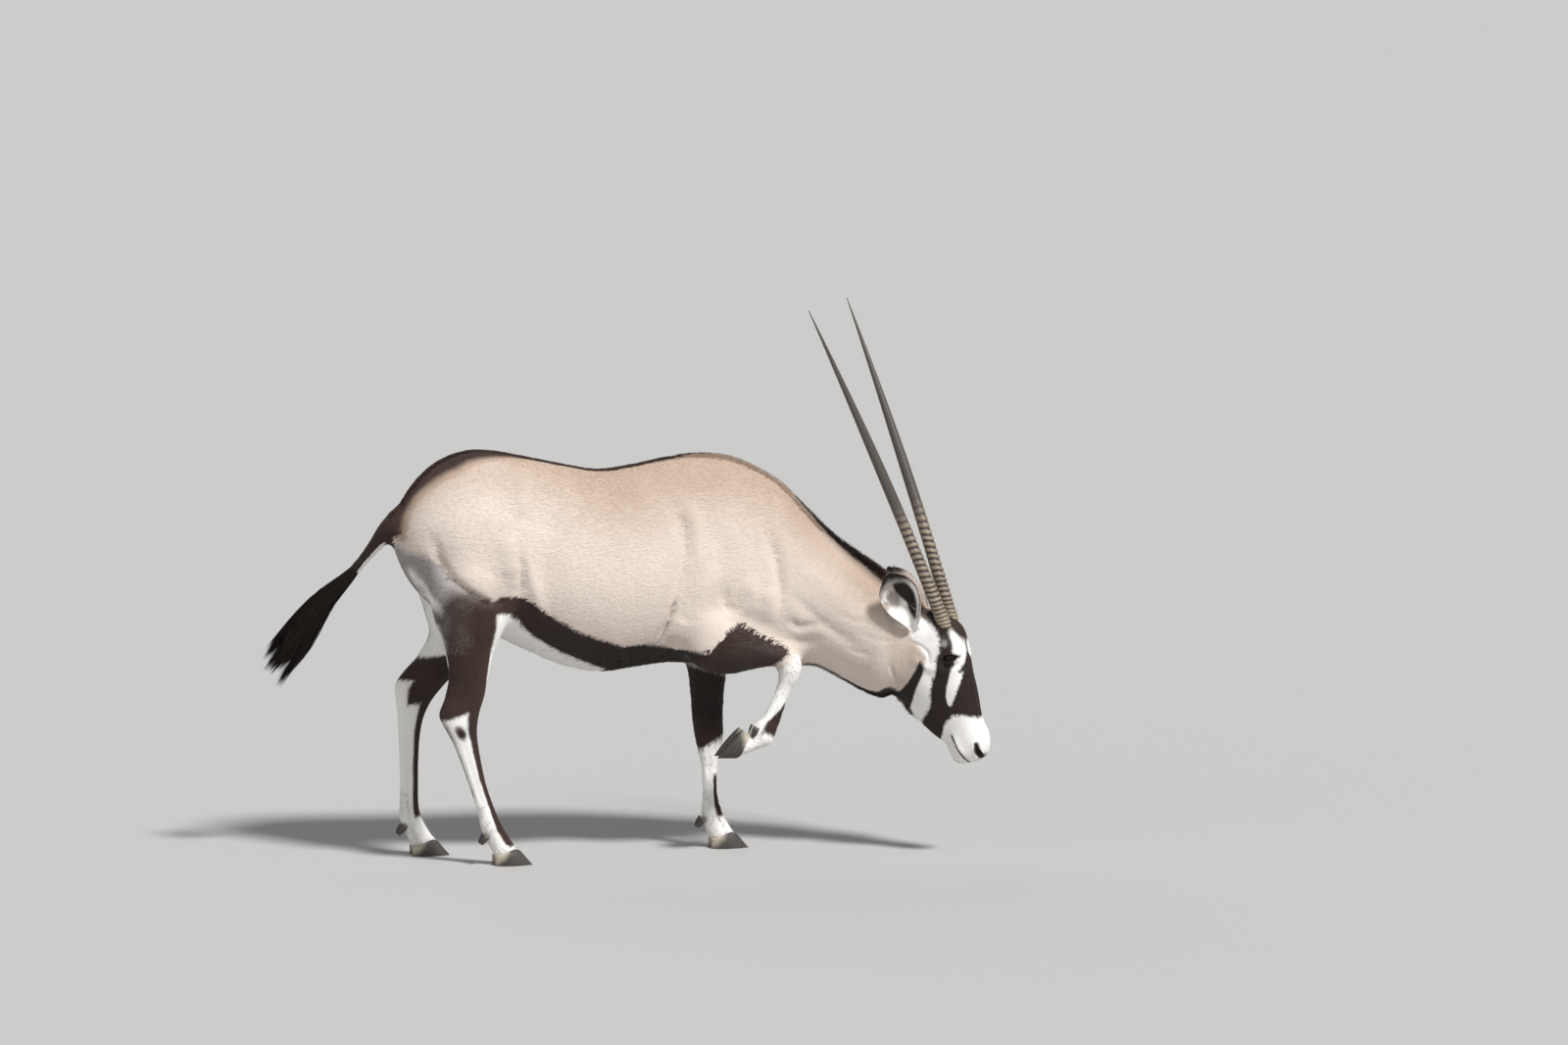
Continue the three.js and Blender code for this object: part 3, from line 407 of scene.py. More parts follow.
def ear_grid(side_name, wall, sides, step):
    """Crescents along the ear: an outer arc out to the curled edges and an inner arc back, a wall apart."""
    root, along, across, opening = ear_frame(side_name)
    places = np.linspace(0, 1, int(EAR_LENGTH / step))
    rows = blend_rows(EAR_SECTIONS, EAR_SECTIONS[:, 0], places)
    sweep = np.linspace(-1, 1, sides)
    rings = []
    for inner, turn in ((0.0, 1.0), (wall, -1.0)):
        angle = np.radians(rows[:, 3:4]) * turn * sweep[None, :]
        wide = np.maximum(rows[:, 1:2] - inner, rows[:, 1:2] * 0.35)
        deep = np.maximum(rows[:, 2:3] - inner, rows[:, 2:3] * 0.35)
        rings.append(
            root + EAR_LENGTH * places[:, None, None] * along
            + (wide * np.sin(angle))[..., None] * across - (deep * np.cos(angle))[..., None] * opening
        )
    grid = np.concatenate(rings, 1)
    return grid * [1, -1, 1] if side_name == "right" else grid


def closed_tube(grid):
    """Points and triangles of a grid of rings, closed round and capped by a fan on each end."""
    rings, sides = grid.shape[:2]
    points = grid.reshape(-1, 3)
    i, j = np.meshgrid(np.arange(rings - 1), np.arange(sides), indexing="ij")
    a, b = (i * sides + j).ravel(), (i * sides + (j + 1) % sides).ravel()
    faces = [np.stack([a, b, b + sides], 1), np.stack([a, b + sides, a + sides], 1)]
    ring = np.arange(sides)
    for start, flip in ((0, True), ((rings - 1) * sides, False)):
        middle = points[start:start + sides].mean(0, keepdims=True)
        points = np.concatenate([points, middle])
        first, second = start + ring, start + (ring + 1) % sides
        tip = np.full(sides, len(points) - 1)
        faces.append(np.stack([second, first, tip] if flip else [first, second, tip], 1))
    faces = np.concatenate(faces)
    p = points[faces]
    if np.einsum("ij,ij->i", p[:, 0], np.cross(p[:, 1], p[:, 2])).sum() < 0:
        faces = faces[:, ::-1]
    return points, faces


def joined(parts):
    """Points and triangles of several forms as one."""
    points, faces, count = [], [], 0
    for p, f in parts:
        points.append(p)
        faces.append(f + count)
        count += len(p)
    return np.concatenate(points), np.concatenate(faces)


def new_object(name, points, faces, smooth=True):
    """A mesh object at the origin from points in metres and triangles."""
    mesh = bpy.data.meshes.new(name)
    mesh.vertices.add(len(points))
    mesh.vertices.foreach_set("co", np.ascontiguousarray(points, np.float32).ravel())
    mesh.loops.add(faces.size)
    mesh.loops.foreach_set("vertex_index", np.ascontiguousarray(faces, np.int32).ravel())
    mesh.polygons.add(len(faces))
    mesh.polygons.foreach_set("loop_start", np.arange(0, faces.size, faces.shape[1], dtype=np.int32))
    mesh.polygons.foreach_set("use_smooth", np.full(len(faces), smooth))
    mesh.update(calc_edges=True)
    mesh.validate()
    obj = bpy.data.objects.new(name, mesh)
    bpy.context.scene.collection.objects.link(obj)
    return obj


def evaluated(obj):
    """Applies the object's modifiers: its mesh becomes the evaluated one."""
    graph = bpy.context.evaluated_depsgraph_get()
    mesh = bpy.data.meshes.new_from_object(obj.evaluated_get(graph))
    old = obj.data
    obj.modifiers.clear()
    obj.data = mesh
    bpy.data.meshes.remove(old)
    return obj


def points_of(mesh):
    """The mesh's vertices as an array."""
    out = np.zeros(len(mesh.vertices) * 3, np.float32)
    mesh.vertices.foreach_get("co", out)
    return out.reshape(-1, 3).astype(float)


def put_points(mesh, points):
    """Moves the mesh's vertices."""
    mesh.vertices.foreach_set("co", np.ascontiguousarray(points, np.float32).ravel())
    mesh.update()


def normals_of(mesh):
    """The mesh's vertex normals as an array."""
    out = np.zeros(len(mesh.vertices) * 3, np.float32)
    mesh.vertex_normals.foreach_get("vector", out)
    return out.reshape(-1, 3).astype(float)


def body_points(mesh):
    """The mesh's vertices in millimetres of the posed body."""
    return to_body(points_of(mesh))


def keep(mesh, name, values):
    """Keeps a number or a vector for each vertex as an attribute."""
    values = np.asarray(values, np.float32)
    kind, key = ("FLOAT", "value") if values.ndim == 1 else ("FLOAT_VECTOR", "vector")
    mesh.attributes.new(name, kind, "POINT").data.foreach_set(key, values.ravel())


def edges_of(mesh):
    """The mesh's edges as an array of vertex pairs."""
    out = np.zeros(len(mesh.edges) * 2, np.int32)
    mesh.edges.foreach_get("vertices", out)
    return out.reshape(-1, 2)


def triangles_of(mesh):
    """The mesh's triangles as an array of vertex triples."""
    mesh.calc_loop_triangles()
    out = np.zeros(len(mesh.loop_triangles) * 3, np.int32)
    mesh.loop_triangles.foreach_get("vertices", out)
    return out.reshape(-1, 3)


def relax(points, edges, rounds, strength):
    """Moves every point part of the way to the mean of its neighbours, round by round."""
    count = len(points)
    a, b = edges.T
    degree = np.bincount(a, minlength=count) + np.bincount(b, minlength=count)
    strength = np.asarray(strength, float)
    strength = strength[:, None] if strength.ndim else strength
    for _ in range(rounds):
        total = np.stack([
            np.bincount(a, points[b, k], count) + np.bincount(b, points[a, k], count) for k in range(3)
        ], 1)
        points = points + strength * (total / np.maximum(degree, 1)[:, None] - points)
    return points


# Where a point lies on the animal

def locate(rows, x, z):
    """Place of points along a form's dense rows, as a row number with its fraction, and the part of the way from
    the first outline point to the second: the row whose line passes nearest, then a step to its neighbour."""
    a, b = rows[:, 0:2], rows[:, 2:4]
    span = b - a
    size = np.hypot(*span.T)
    number = np.zeros(len(x))
    part = np.zeros(len(x))
    for start in range(0, len(x), 20000):
        px, pz = x[start:start + 20000, None], z[start:start + 20000, None]
        dx, dz = px - a[None, :, 0], pz - a[None, :, 1]
        f = (dx * span[None, :, 0] + dz * span[None, :, 1]) / size ** 2
        side = (dz * span[None, :, 0] - dx * span[None, :, 1]) / size
        outside = np.maximum(np.maximum(-f, f - 1), 0) * size
        i = np.argmin(side ** 2 + outside ** 2, 1)
        pick = np.arange(len(i))
        j = np.clip(i + 1, 0, len(a) - 1)
        j = np.where(j == i, i - 1, j)
        here, there = side[pick, i], side[pick, j]
        step = np.where(np.abs(here - there) > 1e-6, here / (here - there), 0)
        number[start:start + 20000] = i + np.clip(step, -1, 1) * (j - i)
        part[start:start + 20000] = f[pick, i]
    return np.clip(number, 0, len(a) - 1), part


def anatomy(points):
    """Where points of the posed body lie, in millimetres: straightened x, y, z; how far round the section of the
    trunk or head, from 90 degrees on the back or face to -90 on the belly or jaw; and for each leg the place from
    its upper joint (0) by the knee or hock (1) and the fetlock (2) to the coronet (3), the part of the way from
    front to rear, the place across from the inner (-1) to the outer side (1), and whether it is on that leg."""
    flat = unbend(points)
    x, y, z = flat.T
    out = dict(x=x, y=y, z=z)
    for name, rows, level in (("trunk", TRUNK, TRUNK_LEVEL), ("head", HEAD, HEAD_LEVEL)):
        dense, places = dense_rows(rows, ROW_STEP)
        number, part = locate(dense, x, z)
        up = 1 - part
        rise = np.where(up > level, (up - level) / (1 - level), (up - level) / level)
        along, half = (np.interp(number, np.arange(len(dense)), a) for a in (places, dense[:, 4]))
        out[name] = dict(along=along, angle=np.degrees(np.arctan2(rise, np.abs(y) / half)))
    for name, leg in LEGS.items():
        dense, places = dense_rows(leg["rows"], ROW_STEP)
        key = middle_key(leg["rows"])[list(leg["joints"])]
        number, part = locate(dense, points[:, 0], points[:, 2])
        along, half, middle = (
            np.interp(number, np.arange(len(dense)), a) for a in (places, dense[:, 4], dense[:, 5]))
        across = leg["side"] * (points[:, 1] - middle) / half
        beyond = (along - key[-1]) / (key[-1] - key[-2])
        place = np.interp(along, key, [0, 1, 2, 3]) + np.minimum(along - key[0], 0) / (key[1] - key[0])
        reach = np.hypot(np.maximum(np.maximum(-part, part - 1), 0) * 6, np.maximum(np.abs(across) - 1, 0))
        out[name] = dict(along=along, place=place + np.maximum(beyond, 0), part=part, across=across, off=reach)
    for name, side in (("right", -1), ("left", 1)):
        out["ear_" + name] = ear_place(name, side, flat)
    middle, way, radius, _, _ = tail_frame(tail_part(points[:, 0]))
    drop = middle[:, 2] - points[:, 2] - (middle[:, 0] - points[:, 0]) * way[:, 2] / np.minimum(way[:, 0], -0.2)
    out["tail_under"] = drop / radius
    return out


def ear_place(name, side, flat):
    """Where points lie on an ear: millimetres along it and across it, how far from its rim, and whether they are
    on it at all and on its inner side."""
    root, along, across, opening = ear_frame(name)
    away = flat * [1, side, 1] - root
    run, u, out = away @ along, away @ across, away @ opening
    rows = np.clip(run / EAR_LENGTH, 0, 1)
    half, deep, curl = (np.interp(rows, EAR_SECTIONS[:, 0], EAR_SECTIONS[:, k]) for k in (1, 2, 3))
    reach = np.hypot(u / half, out / deep)
    angle = np.degrees(np.arctan2(u / half, -out / deep))
    rim = np.minimum((curl - np.abs(angle)) / 57.3 * half, (1.0 - run / EAR_LENGTH) * 60)
    on = (run > 12) & (run < EAR_LENGTH + 12) & (reach < 1.35) & (rim > -5)
    on &= (flat[:, 1] * side > 25) & (flat[:, 2] > 668)
    return dict(along=run, across=u, rim=rim, on=on, inner=reach < 1 - 3.0 / half)


def distance_in(outline, u, v):
    """Distance to the edge of a closed outline, positive inside: the nearest of its sides, and the sign by the
    number of sides that a level line crosses."""
    p = np.asarray(outline, float)
    q = np.roll(p, -1, 0)
    near = np.full(len(u), np.inf)
    inside = np.zeros(len(u), bool)
    for (ax, ay), (bx, by) in zip(p, q):
        ex, ey = bx - ax, by - ay
        t = np.clip(((u - ax) * ex + (v - ay) * ey) / (ex * ex + ey * ey), 0, 1)
        near = np.minimum(near, np.hypot(u - ax - t * ex, v - ay - t * ey))
        cross = (ay > v) != (by > v)
        with np.errstate(divide="ignore", invalid="ignore"):
            inside ^= cross & (u < ax + (v - ay) * ex / (ey if ey else 1e-9))
    return np.where(inside, near, -near)


def slit_distance(x, z):
    """Distance inside the eye's slit, seen from the side: a lens that slants a little, higher above than below."""
    u, v = x - EYE_PLACE[0], z - EYE_PLACE[2]
    tilt = v - 0.16 * u
    half = np.where(tilt > 0, 11.5, 9.0) * np.clip(1 - (u / 21.0) ** 2, 0, 1) ** 0.7
    return np.where(np.abs(u) < 21, half - np.abs(tilt), -np.hypot(np.abs(u) - 21, tilt))


def both(*distances):
    """Inside all of the outlines."""
    return np.minimum.reduce(distances)


def either(*distances):
    """Inside any of the outlines."""
    return np.maximum.reduce(distances)


# Markings, as outlines in millimetres. Side views are (x, z) of the straightened body.
DORSAL_HALF_WIDTH = [
    (-720, 58), (-670, 48), (-645, 50), (-592, 66), (-519, 78), (-430, 60), (-380, 46), (-300, 32), (-200, 25),
    (-85, 21), (100, 19), (230, 17), (320, 14), (450, 13), (560, 14), (650, 16), (750, 23), (830, 33), (900, 36),
]
THROAT_HALF_WIDTH = [(440, 30), (520, 18), (620, 18), (700, 30), (780, 44), (860, 48)]
STRIPE_OFFSET = [(170, 0), (290, 20), (520, 20), (660, 0)]  # how far left of the middle the dorsal stripe lies
THIGH_STREAK = [(-652, 0, 853), (-610, 0, 791), (-568, 0, 729)]
# Painted shade: dark lines laid along the crease under the thigh muscle and behind the elbow, as how far each reaches
# and its line
CREASE_SHADE_LINES = [(3.0, [(-578, 0, 886), (-556, 0, 850), (-511, 0, 808), (-460, 0, 785)]),
           (0.0, [(88, 0, 698), (78, 0, 670), (66, 0, 638)])]
# Middle (x, z) of a grey spot over the eye, a painted highlight
BROW_HIGHLIGHT = (974, 630)
FLANK_BAND = [
    (-470, 775), (-400, 795), (-340, 789), (-295, 761), (-232, 716), (-179, 685), (-105, 655), (-38, 634),
    (50, 636), (128, 614), (165, 615), (330, 588), (440, 562), (520, 556), (520, 400), (-90, 400), (-75, 555),
    (-161, 590), (-222, 618), (-286, 655), (-331, 690), (-353, 722), (-380, 742), (-470, 742),
]
BELLY = [
    (-620, 700), (-560, 748), (-430, 742), (-350, 722), (-286, 655), (-222, 618), (-161, 590), (-60, 556), (-60, 400),
    (-620, 400),
]
GREY_EDGE = [
    (-720, 978), (-668, 926), (-625, 922), (-586, 905), (-554, 852), (-511, 808), (-450, 775), (-380, 765),
]
THIGH = [
    (-670, 560), (-650, 620), (-622, 690), (-604, 735), (-585, 775), (-560, 806), (-530, 818), (-500, 812),
    (-466, 797), (-430, 787), (-397, 780), (-355, 778), (-330, 740), (-340, 560),
]
RAISED_ARM = [
    (100, 612), (150, 620), (208, 628), (232, 645), (253, 668), (303, 694), (345, 714), (500, 700), (474, 592),
    (410, 549), (400, 440), (100, 440),
]
DARK_FACE = [
    (952, 662), (961, 645), (964, 625), (962, 603), (955, 585), (952, 540), (943, 522), (936, 483), (933, 448),
    (917, 418), (902, 402), (893, 386), (890, 330), (940, 318), (951, 343), (960, 362), (965, 382), (974, 394),
    (994, 414), (1025, 418), (1052, 411), (1078, 405), (1130, 396), (1130, 566), (1062, 566), (1042, 560), (1026, 545),
    (1016, 510), (1003, 474), (993, 447), (987, 442), (980, 449), (977, 471), (982, 501), (989, 528), (994, 550),
    (1003, 568), (1008, 588), (1000, 613), (995, 634), (986, 656), (984, 672),
]
FOREHEAD = [
    (940, 676), (955, 662), (982, 656), (990, 668), (1004, 654), (1022, 625), (1036, 596), (1046, 570), (1050, 552),
    (1120, 552), (1120, 760), (960, 745), (925, 728), (905, 715), (914, 700), (930, 688),
]
CHEEK_STRIPE = [
    (905, 584), (915, 566), (918, 552), (900, 521), (884, 486), (873, 455), (862, 438), (852, 420), (840, 380),
    (700, 440), (760, 462), (829, 482), (860, 509), (883, 544), (896, 566),
]
PALE_FACE = [
    (866, 672), (871, 649), (892, 625), (909, 609), (920, 590), (918, 566), (905, 530), (885, 495), (868, 462),
    (850, 430), (850, 320), (1140, 240), (1140, 760), (1005, 760), (988, 668), (961, 648), (948, 665),
    (930, 688), (908, 703), (893, 714), (876, 694),
]
EAR_HOLLOW = [  # (along, across) of the ear
    (142, 4), (138, -20), (123, -38), (94, -44), (54, -36), (18, -18), (16, -8), (40, -7), (60, -10), (89, -1), (123, 8),
]


def nostril_distance(x, y, z):
    """Distance from the line of the nearer nostril, with the depth into the muzzle counted less."""
    flatness = [0.8, 0.4, 1]
    return line_distance(np.stack([x, np.abs(y), z], 1) * flatness, np.array(NOSTRIL_LINE) * flatness)


def crest_distance(x, y):
    """Distance from the middle of the dorsal stripe, which lies left of the withers and the front of the neck."""
    return np.abs(y - table_value(STRIPE_OFFSET, x))


def back_and_belly(x):
    """Heights of the trunk's upper and lower outline at x."""
    return np.interp(x, TRUNK[:, 0], TRUNK[:, 1]), np.interp(x, TRUNK[:, 2], TRUNK[:, 3])


def markings(at):
    """The coat's markings at places of the body: `black` and `white` are distances in millimetres, positive
    inside; `soft` is how far the black fades out, in millimetres; `brown`, `tan`, `grey` and `gloss` run from
    0 to 1."""
    x, y, z = at["x"], at["y"], at["z"]
    wide = np.abs(y)
    top, bottom = back_and_belly(x)
    level = (z - bottom) / np.maximum(top - bottom, 60)
    throat = both(table_value(THROAT_HALF_WIDTH, x) - wide, (0.35 - level) * 300, x - 420)
    throat = np.where(x > 740, np.minimum(throat, (478 - z) * 0.6 + 10), throat)
    body = body_marked(x, y, z, level, throat)
    face = face_marked(x, y, z, throat)
    headed = step_up(x + 0.05 * (z - 620), 800, 830)
    out = {key: body[key] * (1 - headed) + face[key] * headed for key in body}
    return tail_marked(at, legs_marked(at, ears_marked(at, out)))


def body_marked(x, y, z, level, throat):
    """Trunk and neck: a dorsal stripe, a band along the flank and the throat, thin dark lines of painted shade in the
    creases, a pale belly, a streak down the thigh and grey buttocks. `level` is the height from the belly (0) to the
    back (1)."""
    wide = np.abs(y)
    dorsal = both(table_value(DORSAL_HALF_WIDTH, x) - crest_distance(x, y), (level - 0.55) * 300)
    streak = 8 + 3 * step_up(850 - z, 0, 80) - line_distance(side_view(x, z), THIGH_STREAK)
    # painted shade: a thin dark line in each crease, given a wider fade in `soft`
    crease = both(either(*(deep - line_distance(side_view(x, z), line) for deep, line in CREASE_SHADE_LINES)), wide - 60)
    rear = step_up(-x, 50, 350)
    tanned = step_up(level, 0.5 + 0.16 * rear, 1.0) * (1 - 0.2 * rear)
    white = either(both(distance_in(BELLY, x, z), 170 - wide), both(streak, wide - 45))
    return dict(
        black=either(dorsal, distance_in(FLANK_BAND, x, z), throat, crease),
        white=white * (1 - 0.7 * step_up(-x, 540, 600) * (wide < 100)),
        soft=3 + 14 * step_up(-x, 250, 420) * (dorsal > -60) * (level > 0.6) + 7 * (crease > -40),
        brown=np.where(dorsal > -15, 0.9, 0.35),
        tan=np.maximum(tanned, 1.7 * step_up(dorsal, -38, 0) * step_up(-x, 200, 330)),
        grey=step_up(-x, 470, 560) * step_up(z, 640, 720) * step_up(table_value(GREY_EDGE, x) - z, -8, 22),
        gloss=0 * x,
    )


def face_marked(x, y, z, throat):
    """Head: a dark mask from the forehead by the eye to the jaw, with a thin line between the eyes, a dark stripe
    on the cheek, dark lips, lids and nostrils, and a grey spot over the eye in the pale face, which is a painted
    highlight."""
    wide = np.abs(y)
    between_eyes = both(4.5 + 0.9 * np.maximum(600 - z, 0) - wide, z - 545, 700 - z, x - 1000)
    lid_rim = both(4.0 - np.abs(slit_distance(x, z) + 1.0), wide - 30)
    face = either(
        both(distance_in(DARK_FACE, x, z), np.where(z > 575, wide - 22, 60)), distance_in(FOREHEAD, x, z),
        between_eyes, lid_rim, both(distance_in(CHEEK_STRIPE, x, z), wide - 8))
    face = np.where(z < 470, either(face, both(throat, 864 - x, 430 - z)), face)
    face = either(face, both(3.2 - line_distance(side_view(x, z), MOUTH_FOLD), 60 - wide))
    # Painted highlight: a grey spot over the eye, cut out of the dark mask and the pale face
    brow = np.hypot(x - BROW_HIGHLIGHT[0], 0.8 * (z - BROW_HIGHLIGHT[1]))
    face = np.where(wide > 25, both(face, brow - 7.5), face)
    face = either(face, 5.5 + 4.0 * step_up(338 - z, 0, 34) - nostril_distance(x, y, z))
    return dict(
        black=face, white=both(distance_in(PALE_FACE, x, z), brow - 12), soft=2.0 + 3.0 * (z > 600),
        brown=np.where(z > 560, 0.45, 0.30), tan=0.35 + 0.5 * step_up(z, 640, 720), grey=1.0 * (brow < 12),
        gloss=0.5 * step_up(x, 1020, 1050),
    )


def owned(out, owns, **values):
    """The markings with those of one part of the body put in where it owns the place."""
    return {key: np.where(owns, values[key], kept) for key, kept in out.items()}


def ears_marked(at, out):
    """Ears: a dark rim, grey fur outside, pale fur inside round a dark hollow."""
    for name in EARS:
        here = at["ear_" + name]
        inner, rim, along, across = (here[key] for key in ("inner", "rim", "along", "across"))
        edge = 4.0 + 7.0 * step_up(along, 100, 160) - rim
        edge = edge + 4.0 * step_up(np.abs(across), 10, 40) * step_up(along, 30, 80)
        patch = 20 - np.hypot((along - 95) * 0.6, across - 19)
        out = owned(
            out, here["on"], black=np.where(inner, either(distance_in(EAR_HOLLOW, along, across), edge), edge),
            white=np.where(inner, both((126 - along) * 0.5, -patch * 0.8), 6.0 - 0.3 * along), soft=4.0,
            brown=np.where(inner, 0.1, 0.5), tan=np.where(inner, 0.15 + 0.7 * step_up(patch, -2, 8), 0.55),
            grey=np.where(inner, 0.55 + 0.35 * step_up(patch, -2, 8), 0.35), gloss=0.0,
        )
    return out


def legs_marked(at, out):
    """Legs: dark above the hock and down the front of the hind ones, dark to the knee on the front ones."""
    x, z = at["x"], at["z"]
    for name in LEGS:
        here = at[name]
        place, part, across = here["place"], here["part"], here["across"]
        soft, tint, gloss, pale_grey = 3.0, 0.75, 0.35, 0.0
        if name.startswith("hind"):
            far = name == "hind_left"
            front = both((0.21 * (1 - place / 0.95) - part) * 180, (0.8 - place) * 200, (place + 0.08) * 250)
            inner = either(both(-across * 60 + 6, (0.41 + 0.06 * part - place) * 200), front)
            end = (1.02 if far else 0.99) - place + 0.12 * (part - 0.5)
            dark = both(either(distance_in(THIGH, x, z), (place - 0.1) * 250), end * 200, -inner)
            strip_end = 2.02 if far else 2.7
            strip = both((0.36 - part) * 60, (place - 0.85) * 160, (strip_end - place) * 80)
            if far:
                spot = both((part - 0.72) * 90, 28 - np.abs(place - 0.955) * 160)
            else:
                spot = 0 * place - 20
                # Painted shade: a thin dark line down the rear edge of the leg from the hock
                rear_edge_shade = both((part - 0.93) * 40, (place - 0.9) * 160, (1.7 - place) * 80)
                smudge = 6 - np.hypot((place - 1.15) * 110, (part - 0.57) * 42)
                strip = either(strip, rear_edge_shade, smudge)
            dark = both(either(dark, strip), -spot)
            dark = np.where(place < 0.0, either(dark, out["black"]), dark)
            pale = either((place - 0.93) * 160, both(inner, (place + 0.1) * 60), front, spot)
            pale = np.where(place < 0.2, either(pale, out["white"]), pale)
            pale_grey = out["grey"] * (place < 0.5)
            soft = np.where(place < 0.3, 5 + 24 * step_up(-x, 420, 540), 3.0)
            owns = (here["off"] < 0.35) & (place > -0.45) & (z < 830)
        elif name == "fore_right":
            dark = both(distance_in(RAISED_ARM, x, z), (0.93 - place + 0.10 * (part - 0.5)) * 160)
            reach = np.minimum(0.10 + 1.7 * (place - 1.42), 0.64)
            dark = either(dark, both((reach - part) * 60, (place - 1.40) * 120, (1.93 - place) * 110))
            pale = both((place - 0.90) * 160, either(x - 402, 470 - z))
            owns = (here["off"] < 0.4) & (place > -0.05) & (z < 715)
            tint, gloss = 0.7, 0.8
        else:
            # Painted shade: the inner side of the far leg's upper forearm is grey instead of black, where shade falls
            inner = both((0.3 - across) * 40, (0.40 - 0.10 * part - place) * 200, (place - 0.20 + 0.10 * part) * 200)
            dark = both((place + 0.1) * 150, (1.25 + 0.14 * (part - 0.5) - place) * 160, -inner)
            dark = either(dark, both((0.34 - part) * 60, (place - 1.6) * 120, (2.2 - place) * 110))
            pale = (place - 1.24) * 160
            pale_grey = 1.0 * (inner > -3)
            owns = (here["off"] < 0.4) & (place > -0.1) & (z < 590)
            tint = 0.3 + 0.5 * step_up(place, 0.9, 1.15)
        out = owned(
            out, owns, black=dark, white=pale, soft=soft, brown=tint, tan=step_up(place, 1.5, 2.4) * 0.25,
            gloss=gloss, grey=pale_grey)
    return out


def tail_marked(at, out):
    """Tail: dark, with a whitish patch under its root."""
    x = at["x"]
    pale = at["tail_under"] * step_up(-x, 700, 735) * (1 - step_up(-x, 765, 805))
    return owned(
        out, (x < -690) & (at["z"] > 640), black=14.0 - 40.0 * step_up(pale, 0.15, 0.6), white=20.0, soft=4.0,
        brown=0.6 - 0.4 * step_up(-x, 790, 830), tan=0.4, gloss=0.2, grey=0.2)


def hair_way(at):
    """The way the hair lies, as directions of the posed body: back along the trunk, back and down on the neck and
    the sides, down the legs, and up and back on the face."""
    x, y, z = at["x"], at["y"], at["z"]
    n = len(x)
    down = np.clip((1000 - z) / 500, 0, 1)
    way = np.stack([-np.ones(n), 0.12 * np.sign(y) * (z > 950), -0.25 - 0.55 * down], 1)
    neck = step_up(x, 400, 620)
    way = way * (1 - neck)[:, None] + neck[:, None] * np.array([-0.6, 0.0, -0.75])
    headed = step_up(x, 800, 850)
    cheek = step_up(950 - x + 0.25 * (z - 500), -40, 60)
    face_way = np.stack([-0.15 - 0.5 * cheek, 0.25 * np.sign(y) * np.ones(n), 0.85 - 1.3 * cheek], 1)
    way = way * (1 - headed)[:, None] + face_way * headed[:, None]
    way = turned(way, x)
    for name, leg in LEGS.items():
        here = at[name]
        dense, places = dense_rows(leg["rows"], ROW_STEP)
        run = np.gradient((dense[:, 0:2] + dense[:, 2:4]) / 2, axis=0)
        run = run / np.hypot(*run.T)[:, None]
        owns = step_up(0.5 - here["off"], 0, 0.3) * step_up(here["place"], -0.5, 0.3)
        leg_way = side_view(*(np.interp(here["along"], places, run[:, k]) for k in (0, 1)))
        way = way * (1 - owns)[:, None] + leg_way * owns[:, None]
    for name, side in (("right", -1), ("left", 1)):
        here = at["ear_" + name]
        _, along, across, _ = ear_frame(name)
        ear_way = turned((along + 0.006 * here["across"][:, None] * across) * [1, side, 1], np.full(n, BEND_END))
        way = np.where(here["on"][:, None], ear_way, way)
    _, tail_way, _, _, _ = tail_frame(tail_part(x))
    return unit(np.where((x < -700)[:, None], tail_way, way))


